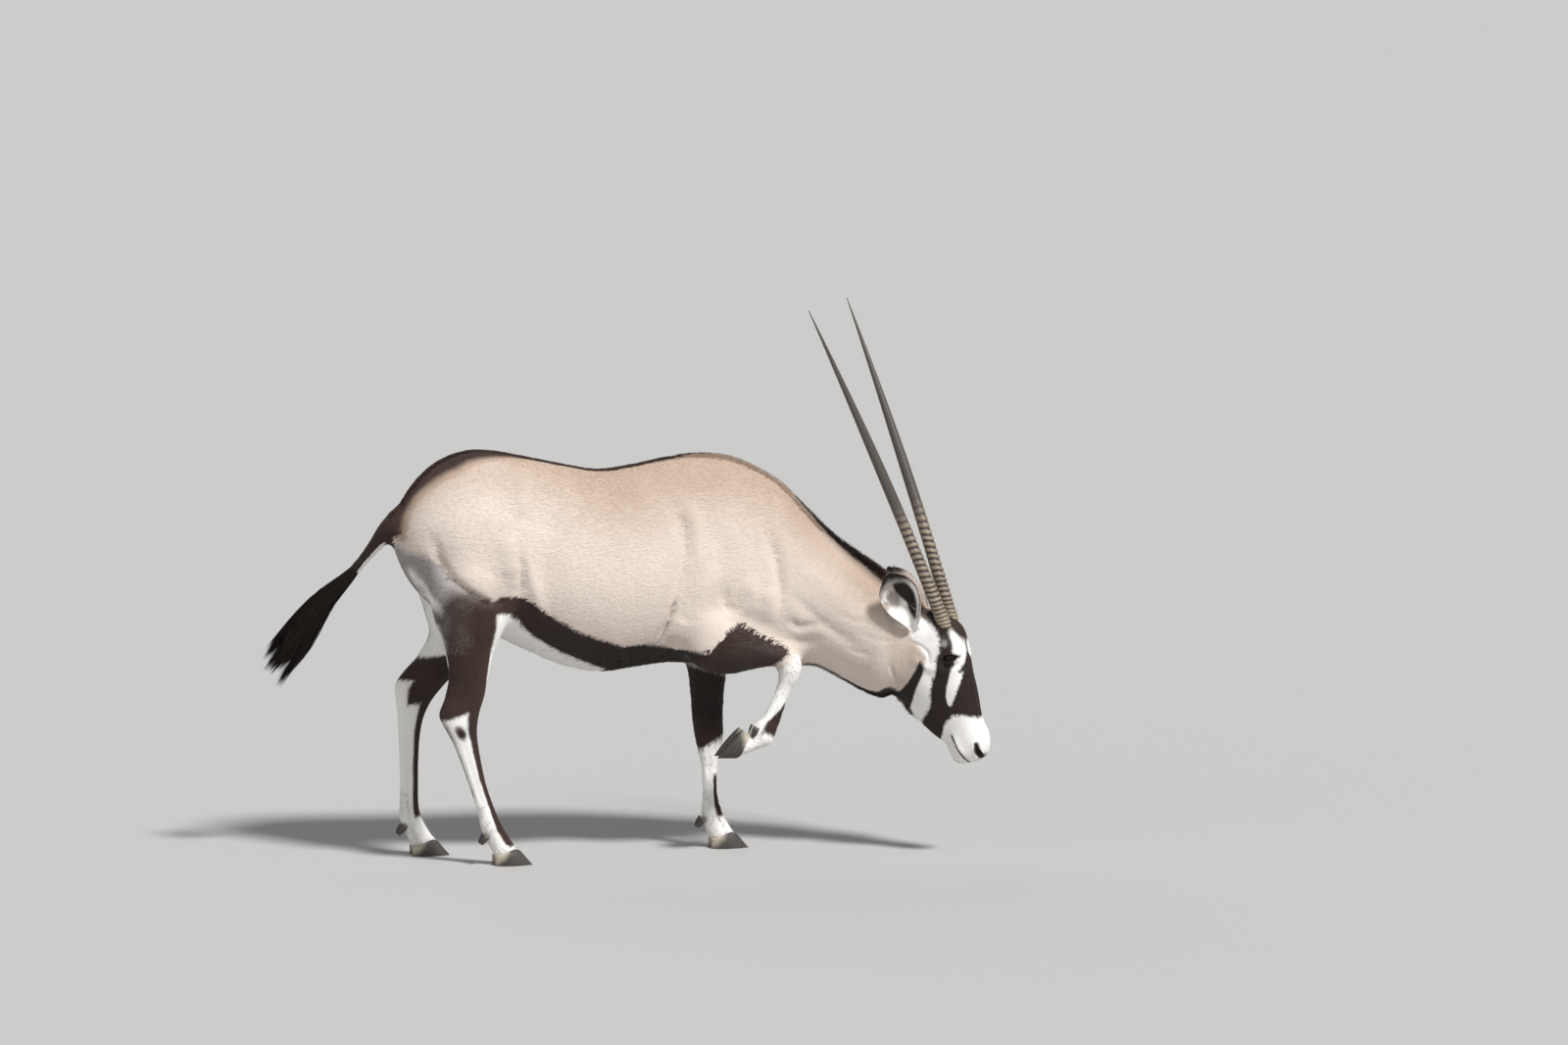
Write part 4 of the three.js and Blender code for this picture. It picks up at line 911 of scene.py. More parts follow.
# Relief of the skin: lines of the straightened body with a width and a height, in millimetres, on both sides. A
# height below 0 is a groove. The last number is how much a distance across the body counts.
RELIEF = [
    ("shoulder blade's spine", [(215, 120, 1120), (262, 150, 1000), (300, 152, 880)], 40, 7, 0.3),
    ("blade's back edge", [(150, 120, 1060), (178, 150, 985), (182, 170, 900), (165, 180, 830)], 30, 9, 0.3),
    ("hollow behind the blade", [
        (107, 120, 1040), (140, 165, 973), (138, 180, 904), (121, 185, 831), (99, 180, 749)], 20, -12, 0.3),
    ("crease behind the elbow", [(106, 180, 765), (94, 175, 714), (66, 160, 640)], 9, -14, 0.3),
    ("triceps", [(225, 165, 880), (200, 170, 790), (180, 165, 715), (172, 150, 650)], 36, 10, 0.3),
    ("elbow", [(132, 168, 715), (122, 165, 680), (112, 160, 640)], 34, 9, 0.3),
    ("shoulder joint", [(330, 150, 830), (355, 150, 765), (345, 150, 700)], 38, 9, 0.3),
    ("hollow above the arm", [(255, 165, 800), (262, 165, 740), (300, 160, 720)], 18, -7, 0.3),
    ("groove before the shoulder", [(415, 120, 960), (440, 130, 880), (452, 130, 800), (452, 125, 720)], 22, -10, 0.3),
    ("point of the shoulder", [(415, 130, 800), (415, 130, 740), (405, 125, 680)], 34, 8, 0.3),
    ("fold of the chest", [(475, 120, 690), (520, 110, 668), (600, 100, 680)], 14, -6, 0.3),
    ("second fold of the chest", [(470, 110, 640), (520, 100, 622), (590, 90, 630)], 16, -5, 0.3),
    ("point of the hip", [(-300, 110, 1140), (-330, 150, 1085), (-352, 170, 1020)], 34, 11, 0.3),
    ("hollow of the flank", [(-262, 150, 1080), (-262, 185, 980), (-285, 190, 880), (-320, 185, 800)], 46, -11, 0.3),
    ("croup muscle", [(-400, 140, 1100), (-500, 140, 1010), (-560, 110, 920)], 60, 8, 0.3),
    ("thigh muscle", [(-545, 165, 925), (-505, 175, 868), (-455, 175, 838), (-405, 175, 842)], 42, 13, 0.3),
    ("crease under the thigh muscle", [
        (-606, 140, 965), (-590, 160, 905), (-556, 170, 849), (-511, 175, 808), (-460, 175, 782),
        (-405, 170, 780)], 15, -13, 0.3),
    ("front of the thigh", [(-395, 175, 990), (-388, 180, 900), (-395, 175, 850)], 36, 8, 0.3),
    ("fold of the flank", [(-360, 180, 930), (-350, 178, 870), (-356, 175, 820), (-372, 170, 790)], 15, -8, 0.3),
    ("stifle fold", [(-338, 175, 900), (-318, 170, 830), (-300, 158, 765), (-290, 140, 700)], 20, 8, 0.3),
    ("hamstring", [(-600, 110, 880), (-575, 120, 800), (-555, 120, 720), (-545, 120, 660)], 30, 8, 0.3),
    ("throat groove", [(470, 118, 790), (560, 100, 710), (650, 90, 650), (740, 80, 600)], 18, -5, 0.5),
    ("neck muscle", [(480, 110, 900), (590, 95, 800), (700, 88, 715), (780, 75, 660)], 46, 7, 0.5),
    ("wrinkle of the neck", [(729, 80, 650), (773, 80, 638), (818, 75, 634)], 7, -3.5, 0.5),
    ("second wrinkle of the neck", [(671, 85, 608), (715, 84, 596), (760, 80, 589)], 7, -3.5, 0.5),
    ("third wrinkle of the neck", [(640, 90, 720), (700, 84, 690), (760, 80, 690)], 9, -3, 0.5),
    ("windpipe", [(560, 20, 560), (660, 20, 520), (740, 18, 482)], 26, 5, 1),
    ("breast", [(480, 40, 620), (505, 30, 580), (480, 30, 545)], 44, 8, 1),
    ("fold behind the jaw", [(812, 75, 560), (818, 72, 527), (832, 66, 495)], 6, -5, 0.5),
    ("cheek bone", [(1016, 62, 556), (970, 68, 552), (915, 72, 560), (880, 70, 580)], 12, 4, 1),
    ("cheek crease", [(868, 72, 634), (899, 72, 622), (923, 72, 604), (930, 72, 576)], 6, -3.5, 0.5),
    ("jaw muscle", [(935, 68, 530), (905, 68, 490), (885, 62, 440)], 34, 5, 1),
    ("crease of the cheek", [(909, 62, 468), (932, 58, 446)], 5, -3, 0.5),
    ("second crease of the cheek", [(936, 58, 430), (909, 58, 424), (885, 56, 417)], 5, -3, 0.5),
    ("hollow of the cheek", [(1000, 56, 510), (960, 52, 440), (950, 46, 395)], 20, -4, 1),
    ("edge of the jaw", [(850, 50, 425), (900, 45, 380), (945, 36, 345)], 13, 4, 1),
    ("front of the face", [
        (1000, 0, 690), (1032, 0, 612), (1050, 0, 545), (1070, 0, 455), (1086, 0, 390)], 42, -6, 1),
    ("ridge of the nose", [(1046, 20, 550), (1060, 18, 470), (1072, 16, 395)], 10, 3, 1),
    ("side of the nose", [(1028, 40, 530), (1023, 44, 484), (1016, 46, 435)], 13, -3.5, 0.7),
    ("tear groove", [(1014, 60, 576), (1026, 50, 545), (1032, 42, 505)], 7, -2.5, 1),
    ("brow", [(962, 66, 622), (984, 72, 624), (1012, 66, 608)], 11, 5, 1),
    ("temple", [(940, 66, 655), (915, 68, 625), (900, 68, 600)], 20, -4, 1),
    ("upper lip", [(990, 42, 360), (1006, 42, 326), (1030, 32, 296)], 11, 4, 1),
    ("lower lip", [(975, 36, 330), (995, 32, 300), (1012, 24, 282)], 9, 3, 1),
    ("horn's root", [(976, 32, 652), (955, 36, 684), (934, 44, 706)], 19, 9, 1),
]


def line_distance(points, line, with_place=False):
    """Distance from points to a line of straight pieces, and the place along it from 0 to 1 if asked for."""
    p = np.asarray(line, float)
    near = np.full(len(points), np.inf)
    place = np.zeros(len(points))
    for number, (a, b) in enumerate(zip(p[:-1], p[1:])):
        run = b - a
        t = np.clip((points - a) @ run / run.dot(run), 0, 1)
        away = np.linalg.norm(points - a - t[:, None] * run, axis=1)
        place = np.where(away < near, (number + t) / (len(p) - 1), place)
        near = np.minimum(near, away)
    return (near, place) if with_place else near


def relief(flat):
    """How far the skin rises at straightened places: each named line adds a bell of its width and height, lower
    towards the line's ends."""
    out = np.zeros(len(flat))
    folded = folded_over(flat)
    for _, line, width, height, flatness in RELIEF:
        low, high = np.min(line, 0) - [3 * width, 90, 3 * width], np.max(line, 0) + [3 * width, 90, 3 * width]
        near = ((folded > low) & (folded < high)).all(1)
        d, place = line_distance(folded[near] * [1, flatness, 1], np.array(line) * [1, flatness, 1], True)
        ends = step_up(place, -0.15, 0.35) * step_up(1 - place, -0.15, 0.35)
        out[near] += height * ends * bell(d, width)
    return out


def leg_relief(at):
    """Bones and tendons of the legs: a hollow between the bone and the tendon on each side of the cannon, the
    knobs of the knee or hock and the fetlock, and the hollow above the heel tendon of the hock."""
    out = np.zeros(len(at["x"]))
    for name in LEGS:
        here = at[name]
        on = np.clip(1.3 - here["off"] * 2, 0, 1) * (here["place"] > 0.1)
        place, part, flank = here["place"], here["part"], np.abs(here["across"])
        cannon = step_up(place, 1.12, 1.35) * (1 - step_up(place, 1.75, 1.95))
        out += on * cannon * -2.6 * bell(part - 0.62, 0.13) * flank
        out += on * 2.2 * bell(place - 2.0, 0.10) * flank
        out += on * 2.0 * bell(place - 1.0, 0.10) * flank
        if name.startswith("hind"):
            out += on * -5.0 * bell(place - 0.78, 0.16) * bell(part - 0.66, 0.14) * flank
    return out


# The skin

def body_parts(sides, step, ears):
    """All the forms of flesh, as closed tubes of the posed body."""
    parts = []
    for rows, level in ((TRUNK, TRUNK_LEVEL), (HEAD, HEAD_LEVEL)):
        grid = body_grid(rows, level, sides, step)
        parts.append(closed_tube(bend(grid.reshape(-1, 3)).reshape(grid.shape)))
    for leg in LEGS.values():
        parts.append(closed_tube(leg_grid(leg["rows"], sides // 2, step)))
    parts.append(closed_tube(tail_grid(DOCK_END, 32, 60)))
    if ears:
        for name in EARS:
            parts.append(closed_tube(on_head(ear_grid(name, EAR_WALL, 28, 4.0))))
    return parts


def remeshed(name, parts, voxel):
    """One closed surface round all the parts, in metres of the part."""
    points, faces = joined(parts)
    obj = new_object(name, to_part(points), faces)
    modifier = obj.modifiers.new("union", "REMESH")
    modifier.mode = "VOXEL"
    modifier.voxel_size = voxel
    return evaluated(obj)


def shape_eyes(flat):
    """Pulls the skin over each eyeball, a lid's thickness out, and opens it along the eye's slit."""
    out = flat.copy()
    for side in (1, -1):
        centre = EYE_PLACE * [1, side, 1]
        dx, dz = flat[:, 0] - centre[0], flat[:, 2] - centre[2]
        near = (np.hypot(dx, dz) < 34) & (flat[:, 1] * side > 20)
        r = np.hypot(dx[near], dz[near])
        lid = EYE_RADIUS + LID_THICKNESS
        cover = centre[1] * side + np.sqrt(np.maximum(lid ** 2 - np.minimum(r, lid) ** 2, 0))
        y = out[near, 1] * side
        weight = step_up(-r, -30, -18)
        y = np.maximum(y, cover * weight + y * (1 - weight))
        inside = slit_distance(flat[near, 0], flat[near, 2])
        y = y - 9.0 * step_up(inside, -0.6, 1.6)
        y = y + 1.8 * bell(inside + 2.2, 1.6) - 1.2 * bell(inside + 6.5, 1.6)
        out[near, 1] = y * side
    return out


def muzzle_sink(flat):
    """How far the skin sinks at the nostrils and along the mouth line, in millimetres."""
    folded = folded_over(flat)
    sink = np.zeros(len(flat))
    near = folded[:, 2] < 380
    p = folded[near]
    nostril = line_distance(p, NOSTRIL_LINE)
    mouth = line_distance(p * [1, 0, 1], MOUTH_FOLD)
    lip_split = np.hypot(p[:, 1], np.maximum(np.abs(p[:, 2] - 296) - 14, 0)) + np.maximum(1060 - p[:, 0], 0)
    sink[near] = (
        12.0 * bell(nostril, 6.0) - 1.8 * bell(nostril - 12, 4.0) + 4.0 * bell(mouth, 2.6) + 2.0 * bell(lip_split, 1.8))
    return sink


def build_skin(voxel):
    """The skin as one closed surface: a coarse union whose joints are eased, joined again with the true forms,
    remeshed and relaxed."""
    blank = remeshed("blank", body_parts(64, 14, False), 0.011)
    eased = relax(points_of(blank.data), edges_of(blank.data), 26, 0.6)
    parts = [(to_body(eased), triangles_of(blank.data))] + body_parts(96, 6, True)
    skin = remeshed("skin", parts, voxel)
    bpy.data.objects.remove(blank)
    points = body_points(skin.data)
    flat = unbend(points)
    on_ear = (flat[:, 2] > 700) & (flat[:, 0] > 700) & (np.abs(flat[:, 1]) > 30)
    points = relax(points, edges_of(skin.data), 9, np.where(on_ear, 0.18, 0.5))
    put_points(skin.data, to_part(points))
    return skin


def displace_skin(skin):
    """Raises the skin by its relief and lays it the coat's depth inside the body's forms."""
    mesh = skin.data
    points = body_points(mesh)
    at = anatomy(points)
    headed = step_up(at["x"], 800, 850)
    depth = COAT_DEPTH * (1 - headed) + FACE_COAT_DEPTH * headed
    rise = relief(np.stack([at["x"], at["y"], at["z"]], 1)) + leg_relief(at) - depth
    put_points(mesh, to_part(points + normals_of(mesh) * rise[:, None]))


def carve_face(skin):
    """Cuts the head's faces finer near the eyes, nostrils and mouth, then shapes lids, nostrils and lips."""
    mesh = skin.data
    for reach in ((46.0, 34.0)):
        folded = folded_over(unbend(body_points(mesh)))
        eye = np.linalg.norm(folded - (EYE_PLACE + [0, 16, 0]), axis=1) < reach
        nose = np.linalg.norm(folded - (NOSTRIL_PLACE + [-16, 8, -4]), axis=1) < reach * 1.5
        refine(mesh, eye | nose)
    shaped = shape_eyes(unbend(body_points(mesh)))
    moved = bend(shaped)
    put_points(mesh, to_part(moved))
    put_points(mesh, to_part(moved - normals_of(mesh) * muzzle_sink(shaped)[:, None]))


def refine(mesh, chosen):
    """Splits every edge between chosen vertices in two."""
    work = bmesh.new()
    work.from_mesh(mesh)
    work.verts.ensure_lookup_table()
    pick = set(np.flatnonzero(chosen).tolist())
    edges = [e for e in work.edges if e.verts[0].index in pick and e.verts[1].index in pick]
    bmesh.ops.subdivide_edges(work, edges=edges, cuts=1, use_grid_fill=True, smooth=0.0)
    bmesh.ops.triangulate(work, faces=[f for f in work.faces if len(f.verts) > 4])
    work.to_mesh(mesh)
    work.free()


def thin_skin(skin, target):
    """Takes faces out of the plain parts of the skin until about `target` triangles are left. The weights are 1 on
    the body and 1/4 on the head, in steps of a quarter."""
    mesh = skin.data
    plain = 1.0 - 0.75 * step_up(unbend(body_points(mesh))[:, 0], 800, 900)
    group = skin.vertex_groups.new(name="plain")
    for level in range(5):
        chosen = np.flatnonzero(np.round(plain * 4) == level)
        if len(chosen):
            group.add(chosen.tolist(), max(level / 4, 0.02), "REPLACE")
    count = len(triangles_of(mesh))
    if count > target:
        modifier = skin.modifiers.new("thin", "DECIMATE")
        modifier.ratio = target / count
        modifier.vertex_group = "plain"
        modifier.vertex_group_factor = 1.0
        evaluated(skin)
    skin.vertex_groups.clear()


def mark(mesh, at, per=1):
    """Keeps the markings at places of the body as attributes of the mesh, each for `per` vertices."""
    for name, values in markings(at).items():
        keep(mesh, name, np.repeat(values, per))


def set_strands(mesh, points, normals, at):
    """Keeps coordinates that run along the hair, across it and out of the skin, in millimetres."""
    ways = along_skin(hair_way(at), normals)
    across = unit(np.cross(normals, ways))
    keep(mesh, "strand", np.stack([np.einsum("ij,ij->i", points, way) for way in (ways, across, normals)], 1))


# Materials

class Wire:
    """A node's output socket; an operator on it adds a Math node and gives that node's output."""

    def __init__(self, nodes, socket):
        self.nodes = nodes
        self.socket = socket

    def math(self, operation, *others):
        node = self.nodes.tree.nodes.new("ShaderNodeMath")
        node.operation = operation
        for slot, value in zip(node.inputs, (self,) + others):
            self.nodes.feed(slot, value)
        return Wire(self.nodes, node.outputs[0])

    def __add__(self, other):
        return self.math("ADD", other)

    def __sub__(self, other):
        return self.math("SUBTRACT", other)

    def __mul__(self, other):
        return self.math("MULTIPLY", other)

    def __truediv__(self, other):
        return self.math("DIVIDE", other)

    def __rsub__(self, other):
        return self.nodes.number(other).math("SUBTRACT", self)

    __radd__ = __add__
    __rmul__ = __mul__

    def between(self, low, high):
        """0 below low, 1 above high and smooth between."""
        return self.nodes.add("ShaderNodeMapRange", {"interpolation_type": "SMOOTHSTEP"}, {
            "Value": self, "From Min": low, "From Max": high})


class Nodes:
    """A material's node tree, with one method that adds any node."""

    def __init__(self, name):
        self.material = bpy.data.materials.new(name)
        self.material.use_nodes = True
        self.tree = self.material.node_tree
        self.tree.nodes.clear()

    def feed(self, slot, value):
        """Links a wire to an input, or sets the input to a plain value."""
        if isinstance(value, Wire):
            self.tree.links.new(value.socket, slot)
        else:
            slot.default_value = value

    def add(self, kind, settings=None, values=None, output=0):
        """A node of a kind: first its settings, then its inputs by name or number."""
        node = self.tree.nodes.new(kind)
        for key, value in (settings or {}).items():
            setattr(node, key, value)
        for key, value in (values or {}).items():
            self.feed(node.inputs[key], value)
        return Wire(self, node.outputs[output])

    def number(self, value):
        """A plain number as a wire."""
        node = self.tree.nodes.new("ShaderNodeValue")
        node.outputs[0].default_value = value
        return Wire(self, node.outputs[0])

    def attribute(self, name, output="Fac"):
        """An attribute of the mesh."""
        return self.add("ShaderNodeAttribute", {"attribute_name": name}, output=output)

    def place(self):
        """Object coordinates."""
        return self.add("ShaderNodeTexCoord", output="Object")

    def mix(self, factor, first, second):
        """Mixes two colours."""
        return self.add("ShaderNodeMix", {"data_type": "RGBA", "clamp_factor": True}, {
            0: factor, 6: first, 7: second}, output=2)

    def noise(self, place, scale, detail=2.0, rough=0.5):
        """Noise about 0.5 at a place."""
        return self.add("ShaderNodeTexNoise", {"noise_dimensions": "3D"}, {
            "Vector": place, "Scale": scale, "Detail": detail, "Roughness": rough})

    def scaled(self, place, factors):
        """A place stretched by three factors."""
        return self.add("ShaderNodeVectorMath", {"operation": "MULTIPLY"}, {0: place, 1: factors})

    def finish(self, color, rough, bump=None, strength=0.3, depth=0.001, **constants):
        """The surface: one Principled shader, its colour, roughness and bump, and constants set on its sockets."""
        shader = self.tree.nodes.new("ShaderNodeBsdfPrincipled")
        self.feed(shader.inputs["Base Color"], color)
        self.feed(shader.inputs["Roughness"], rough)
        for key, value in constants.items():
            shader.inputs[key.replace("_", " ")].default_value = value
        if bump is not None:
            node = self.add("ShaderNodeBump", {}, {"Strength": strength, "Distance": depth, "Height": bump})
            self.feed(shader.inputs["Normal"], node)
        out = self.tree.nodes.new("ShaderNodeOutputMaterial")
        self.tree.links.new(shader.outputs[0], out.inputs[0])
        return self.material


def coat_material(options, name, is_skin):
    """Short hair: markings from distances with ragged edges, streaks along the hair, and fine bump on the skin."""
    n = Nodes(name)
    strand, place = n.attribute("strand", "Vector"), n.place()
    long_noise = n.noise(n.scaled(strand, (0.02, 0.25, 0.1)), 1.0, 3.0, 0.6)
    fine = n.noise(n.scaled(strand, (0.06, 1.3, 0.4)), 1.0, 2.0, 0.6)
    broad = n.noise(place, 5.0, 3.0, 0.5)
    ragged = (long_noise - 0.5) * 16 + (fine - 0.5) * 8 + (n.noise(place, 16.0, 2.0, 0.5) - 0.5) * 14
    soft = n.attribute("soft")
    ragged = ragged * (soft * 0.10 + 0.32).math("MINIMUM", 1.0)
    black = n.attribute("black") / soft + ragged / (soft * 0.7 + 1.0)
    black = black.between(-1.0, 1.0)
    white = (n.attribute("white") + ragged * 1.3).between(-5, 5)
    color = n.mix(n.attribute("tan") * (0.55 + broad * 0.9), options.flank_color, options.back_color)
    mottle = (fine * 0.6 + n.noise(place, 260.0, 2.0, 0.7) * 0.6).between(0.30, 0.80)
    color = n.mix(n.attribute("grey") * (0.35 + mottle * 0.65), color, options.rump_color)
    color = n.mix(white, color, options.white_color)
    dark = n.mix(n.attribute("brown") * (broad * 1.5 - 0.1), options.black_color, options.brown_color)
    color = n.mix(black, color, dark)
    shade = (0.90 + long_noise * 0.12 + fine * 0.08) if is_skin else (0.93 + fine * 0.14)
    grey = n.add("ShaderNodeCombineColor", {}, {"Red": shade, "Green": shade, "Blue": shade})
    color = n.add("ShaderNodeMix", {"data_type": "RGBA", "blend_type": "MULTIPLY"}, {0: 1.0, 6: color, 7: grey}, 2)
    rough = 0.62 - n.attribute("gloss") * black * 0.22
    hair = fine * 0.7 + n.noise(n.scaled(strand, (0.15, 3.0, 1.0)), 1.0, 1.0, 0.5) * 0.3 if is_skin else None
    return n.finish(color, rough, hair, 0.5, 0.0012, Specular_IOR_Level=0.25, Sheen_Weight=0.04)


def brush_material(options):
    """Long coarse hair, black with a brown cast."""
    n = Nodes("brush_hair")
    streak = n.noise(n.scaled(n.attribute("strand", "Vector"), (0.01, 0.3, 0.3)), 1.0, 2.0)
    color = n.mix(streak, options.black_color, (0.022, 0.015, 0.012, 1))
    return n.finish(color, 0.6, None, Specular_IOR_Level=0.18)


# Horns

HORN_PATH = np.array([[976, 29, 648], [801, 98, 1130], [590, 163, 1602]], float)
HORN_RADIUS, HORN_TIP_RADIUS, HORN_TAPER = 21, 1, 1.65  # a taper above 1 keeps the horn thick and narrows it late
RINGED_PART = 0.40  # part of the horn's length that carries rings
FIRST_RING, RING_GROWTH = 11.5, 13  # the lowest ring's spacing, and how much more the highest one has


def horn_grid(side):
    """A slender tube along a bent line. Its radius narrows late, flares at the head, and carries rings whose
    spacing grows upwards: each rises sharply from its groove and leans forward."""
    t = np.linspace(0, 1, 700)[:, None]
    foot, knee, tip = HORN_PATH
    middle = (1 - t) ** 2 * foot + 2 * t * (1 - t) * knee + t * t * tip
    way = unit(2 * (1 - t) * (knee - foot) + 2 * t * (tip - knee))
    wide = unit(np.array([0.0, 1.0, 0.0]) - way * way[:, 1:2])
    angle = circle(40)[None, :]
    random = np.random.default_rng(5)
    length = np.concatenate([[0], np.cumsum(np.linalg.norm(np.diff(middle, axis=0), axis=1))])
    starts = [4.0]
    while starts[-1] < RINGED_PART * length[-1]:
        share = starts[-1] / (RINGED_PART * length[-1])
        starts.append(starts[-1] + FIRST_RING + RING_GROWTH * share ** 1.2 + random.uniform(-1.8, 1.8))
    starts = np.array(starts)
    along = length[:, None] - 5.0 * np.sin(angle) + 1.2 * np.sin(2 * angle + 0.9 * np.floor(length[:, None] / 40))
    i = np.clip(np.searchsorted(starts, along) - 1, 0, len(starts) - 2)
    phase = np.clip((along - starts[i]) / (starts[i + 1] - starts[i]), 0, 1)
    ridge = np.sin(np.pi * phase ** 0.62) ** 1.5
    on_rings = (along > starts[0]) * np.clip((starts[-1] - along) / 130, 0, 1)
    part = length[:, None] / length[-1]
    radius = HORN_TIP_RADIUS + HORN_RADIUS * (1 - part ** HORN_TAPER) + 3 * bell(part, 0.06)
    radius = radius * (0.55 + 0.45 * step_up(part, 0.0, 0.05)) * (0.87 + 0.13 * step_up(part, 0.2, 0.6))
    rise = (2.4 - 1.3 * np.sin(angle)) * (0.75 + 0.5 * np.sin(np.pi * part / RINGED_PART))
    radius = radius + on_rings * (ridge - 0.5) * rise
    grid = middle[:, None] + radius[..., None] * around(angle, wide[:, None], np.cross(way, wide)[:, None])
    strand = np.stack(np.broadcast_arrays(
        np.arange(len(t))[:, None] * 1.45, 20 * np.cos(angle), 20 * np.sin(angle)), -1)
    fields = dict(
        ridge=ridge * on_rings + (1 - on_rings) * 0.5, along=part + 0 * angle, ringed=on_rings + 0 * angle,
        strand=strand)
    return grid * [1, side, 1], fields


def horn_material():
    """Horn: dark and glossy to the tip, grey-brown where it is ringed, with pale crests as painted highlight and dark
    grooves as painted shade, and fine lines along its length."""
    n = Nodes("horn")
    lines = n.noise(n.scaled(n.attribute("strand", "Vector"), (0.01, 1.1, 1.1)), 1.0, 3.0, 0.65)
    blot = n.noise(n.place(), 24.0, 3.0, 0.6)
    ridge, ringed = n.attribute("ridge"), n.attribute("ringed")
    low = n.mix(blot, (0.14, 0.108, 0.080, 1), (0.075, 0.058, 0.045, 1))
    # Painted light on the rings: the pale crest colour is a painted highlight and the near-black groove colour painted
    # shade
    crest = n.mix(blot * 0.9, (0.40, 0.325, 0.235, 1), (0.17, 0.132, 0.098, 1))
    ring_shading_and_tone = n.mix(ridge.between(0.12, 0.85), (0.022, 0.017, 0.013, 1), crest)
    ring_shading_and_tone = n.mix(lines * 0.5, ring_shading_and_tone, low)
    ring_shading_and_tone = n.mix(n.attribute("along").between(0.10, 0.0) * 0.6, ring_shading_and_tone, (0.36, 0.28, 0.18, 1))
    tip = n.mix(lines, (0.050, 0.042, 0.036, 1), (0.112, 0.094, 0.080, 1))
    color = n.mix(ringed.between(0.0, 0.9), tip, ring_shading_and_tone)
    rough = 0.34 + ringed * 0.14 + blot * 0.1
    return n.finish(color, rough, lines * 0.6 + blot * 0.4, 0.35, 0.0006, Specular_IOR_Level=0.5)


# Hooves

CLAW_HEEL, CLAW_TOE = -45, 66  # x of the sole's ends in the foot's own frame
CLAW_HALF_WIDTH = 19
TOE_SLOPE = 0.85  # how far the toe leans back a millimetre of height
DEWCLAW_RADIUS, DEWCLAW_LENGTH = 11.5, 34
DEWCLAW_PLACE = (-66.0, 14.0, 90.0, 35.0)  # root in the foot's own frame, and how far the tip leans back in degrees


def claw_grid(leg, side):
    """A claw between its sole and the coronet's slope: ovals that lean back with height, blunt at the heel, and
    bulge slightly between faint growth ridges."""
    v, angle = np.linspace(0, 1, 40)[:, None], circle(48)[None, :]
    along = (1 + np.cos(angle)) / 2
    x = CLAW_HEEL + (CLAW_TOE - CLAW_HEEL) * along + 0 * v
    for _ in range(4):
        z = v * (39.5 + 0.25 * (x + 8))
        x = CLAW_HEEL + (CLAW_TOE - TOE_SLOPE * z - CLAW_HEEL) * along
    taper = 1 - 0.6 * along ** 3
    ridges = 0.35 * np.sin(v * 38) * (v > 0.1)
    edge = np.where(v < 0.06, 1 - 0.05 * (1 - v / 0.06) ** 2, 1.0)
    close = 1 - 0.55 * step_up(v, 0.86, 1.06) - 0.10 * v
    half = (CLAW_HALF_WIDTH * taper * edge + ridges + 1.2 * np.sin(np.pi * v)) * close
    y = side * (21.5 + 2 * along) + half * np.sin(angle)
    x = x + (0.5 - along) * 22 * step_up(v, 0.86, 1.06)
    return posed_foot(leg, np.stack([x, y, z], -1)), v + 0 * angle, along + 0 * v


def dewclaw_grid(leg, side):
    """A blunt cone that hangs behind the fetlock."""
    t, angle = np.linspace(0, 1, 16)[:, None], circle(20)[None, :]
    radius = DEWCLAW_RADIUS * np.sqrt(np.clip(1 - t ** 2.2, 0, 1)) + 0.3
    x, y, z, lean = leg.get("dewclaw", DEWCLAW_PLACE)
    s, c = math.sin(math.radians(lean)), math.cos(math.radians(lean))
    grid = np.array([x, side * y, z]) + DEWCLAW_LENGTH * t[..., None] * np.array([-s, 0.0, -c])
    grid = grid + radius[..., None] * around(angle, np.array([c, 0.0, -s]) * 0.8, np.array([0.0, 1.0, 0.0]))
    return posed_foot(leg, grid), 1 - t + 0 * angle, 0.5 + 0 * (t + angle)


def posed_foot(leg, grid):
    """Carries the foot's own frame to the foot: a pitch about y, then its place."""
    c, s = math.cos(leg["pitch"]), math.sin(leg["pitch"])
    x, y, z = np.moveaxis(grid, -1, 0)
    return np.stack([x * c + z * s, y, -x * s + z * c], -1) + np.array(leg["foot"], float)


def hoof_material():
    """Horn of the hoof: dark grey, paler at the heel and the coronet, with growth rings and a dull polish."""
    n = Nodes("hoof")
    level, toe = n.attribute("level"), n.attribute("toe")
    blot = n.noise(n.place(), 60.0, 3.0, 0.6)
    rings = n.noise(n.add("ShaderNodeCombineXYZ", {}, {"X": level * 22, "Y": 0.0, "Z": 0.0}), 1.0, 1.0)
    color = n.mix(blot, (0.035, 0.03, 0.028, 1), (0.075, 0.064, 0.056, 1))
    pale = (0.30 + level * 0.75 - toe * 1.35 + blot * 0.3).between(0.25, 0.85)
    color = n.mix(pale, color, (0.42, 0.37, 0.29, 1))
    return n.finish(color, 0.42 + blot * 0.15, rings * 0.7 + blot * 0.3, 0.3, 0.0006)


# Eyes

def eye_grid(side):
    """An eyeball with its poles across the head, the outer one raised a little as the cornea."""
    polar, angle = np.linspace(0.02, np.pi - 0.02, 40)[:, None], circle(64)[None, :]
    r = EYE_RADIUS * (1 + 0.05 * bell(polar, 0.55)) * 0.985
    gaze_x, gaze_z, outer = np.sin(polar) * np.cos(angle), np.sin(polar) * np.sin(angle), np.cos(polar) + 0 * angle
    grid = EYE_PLACE * [1, side, 1] + np.stack([r * gaze_x, side * r * outer, r * gaze_z], -1)
    return grid, dict(gaze_x=gaze_x, gaze_z=gaze_z)


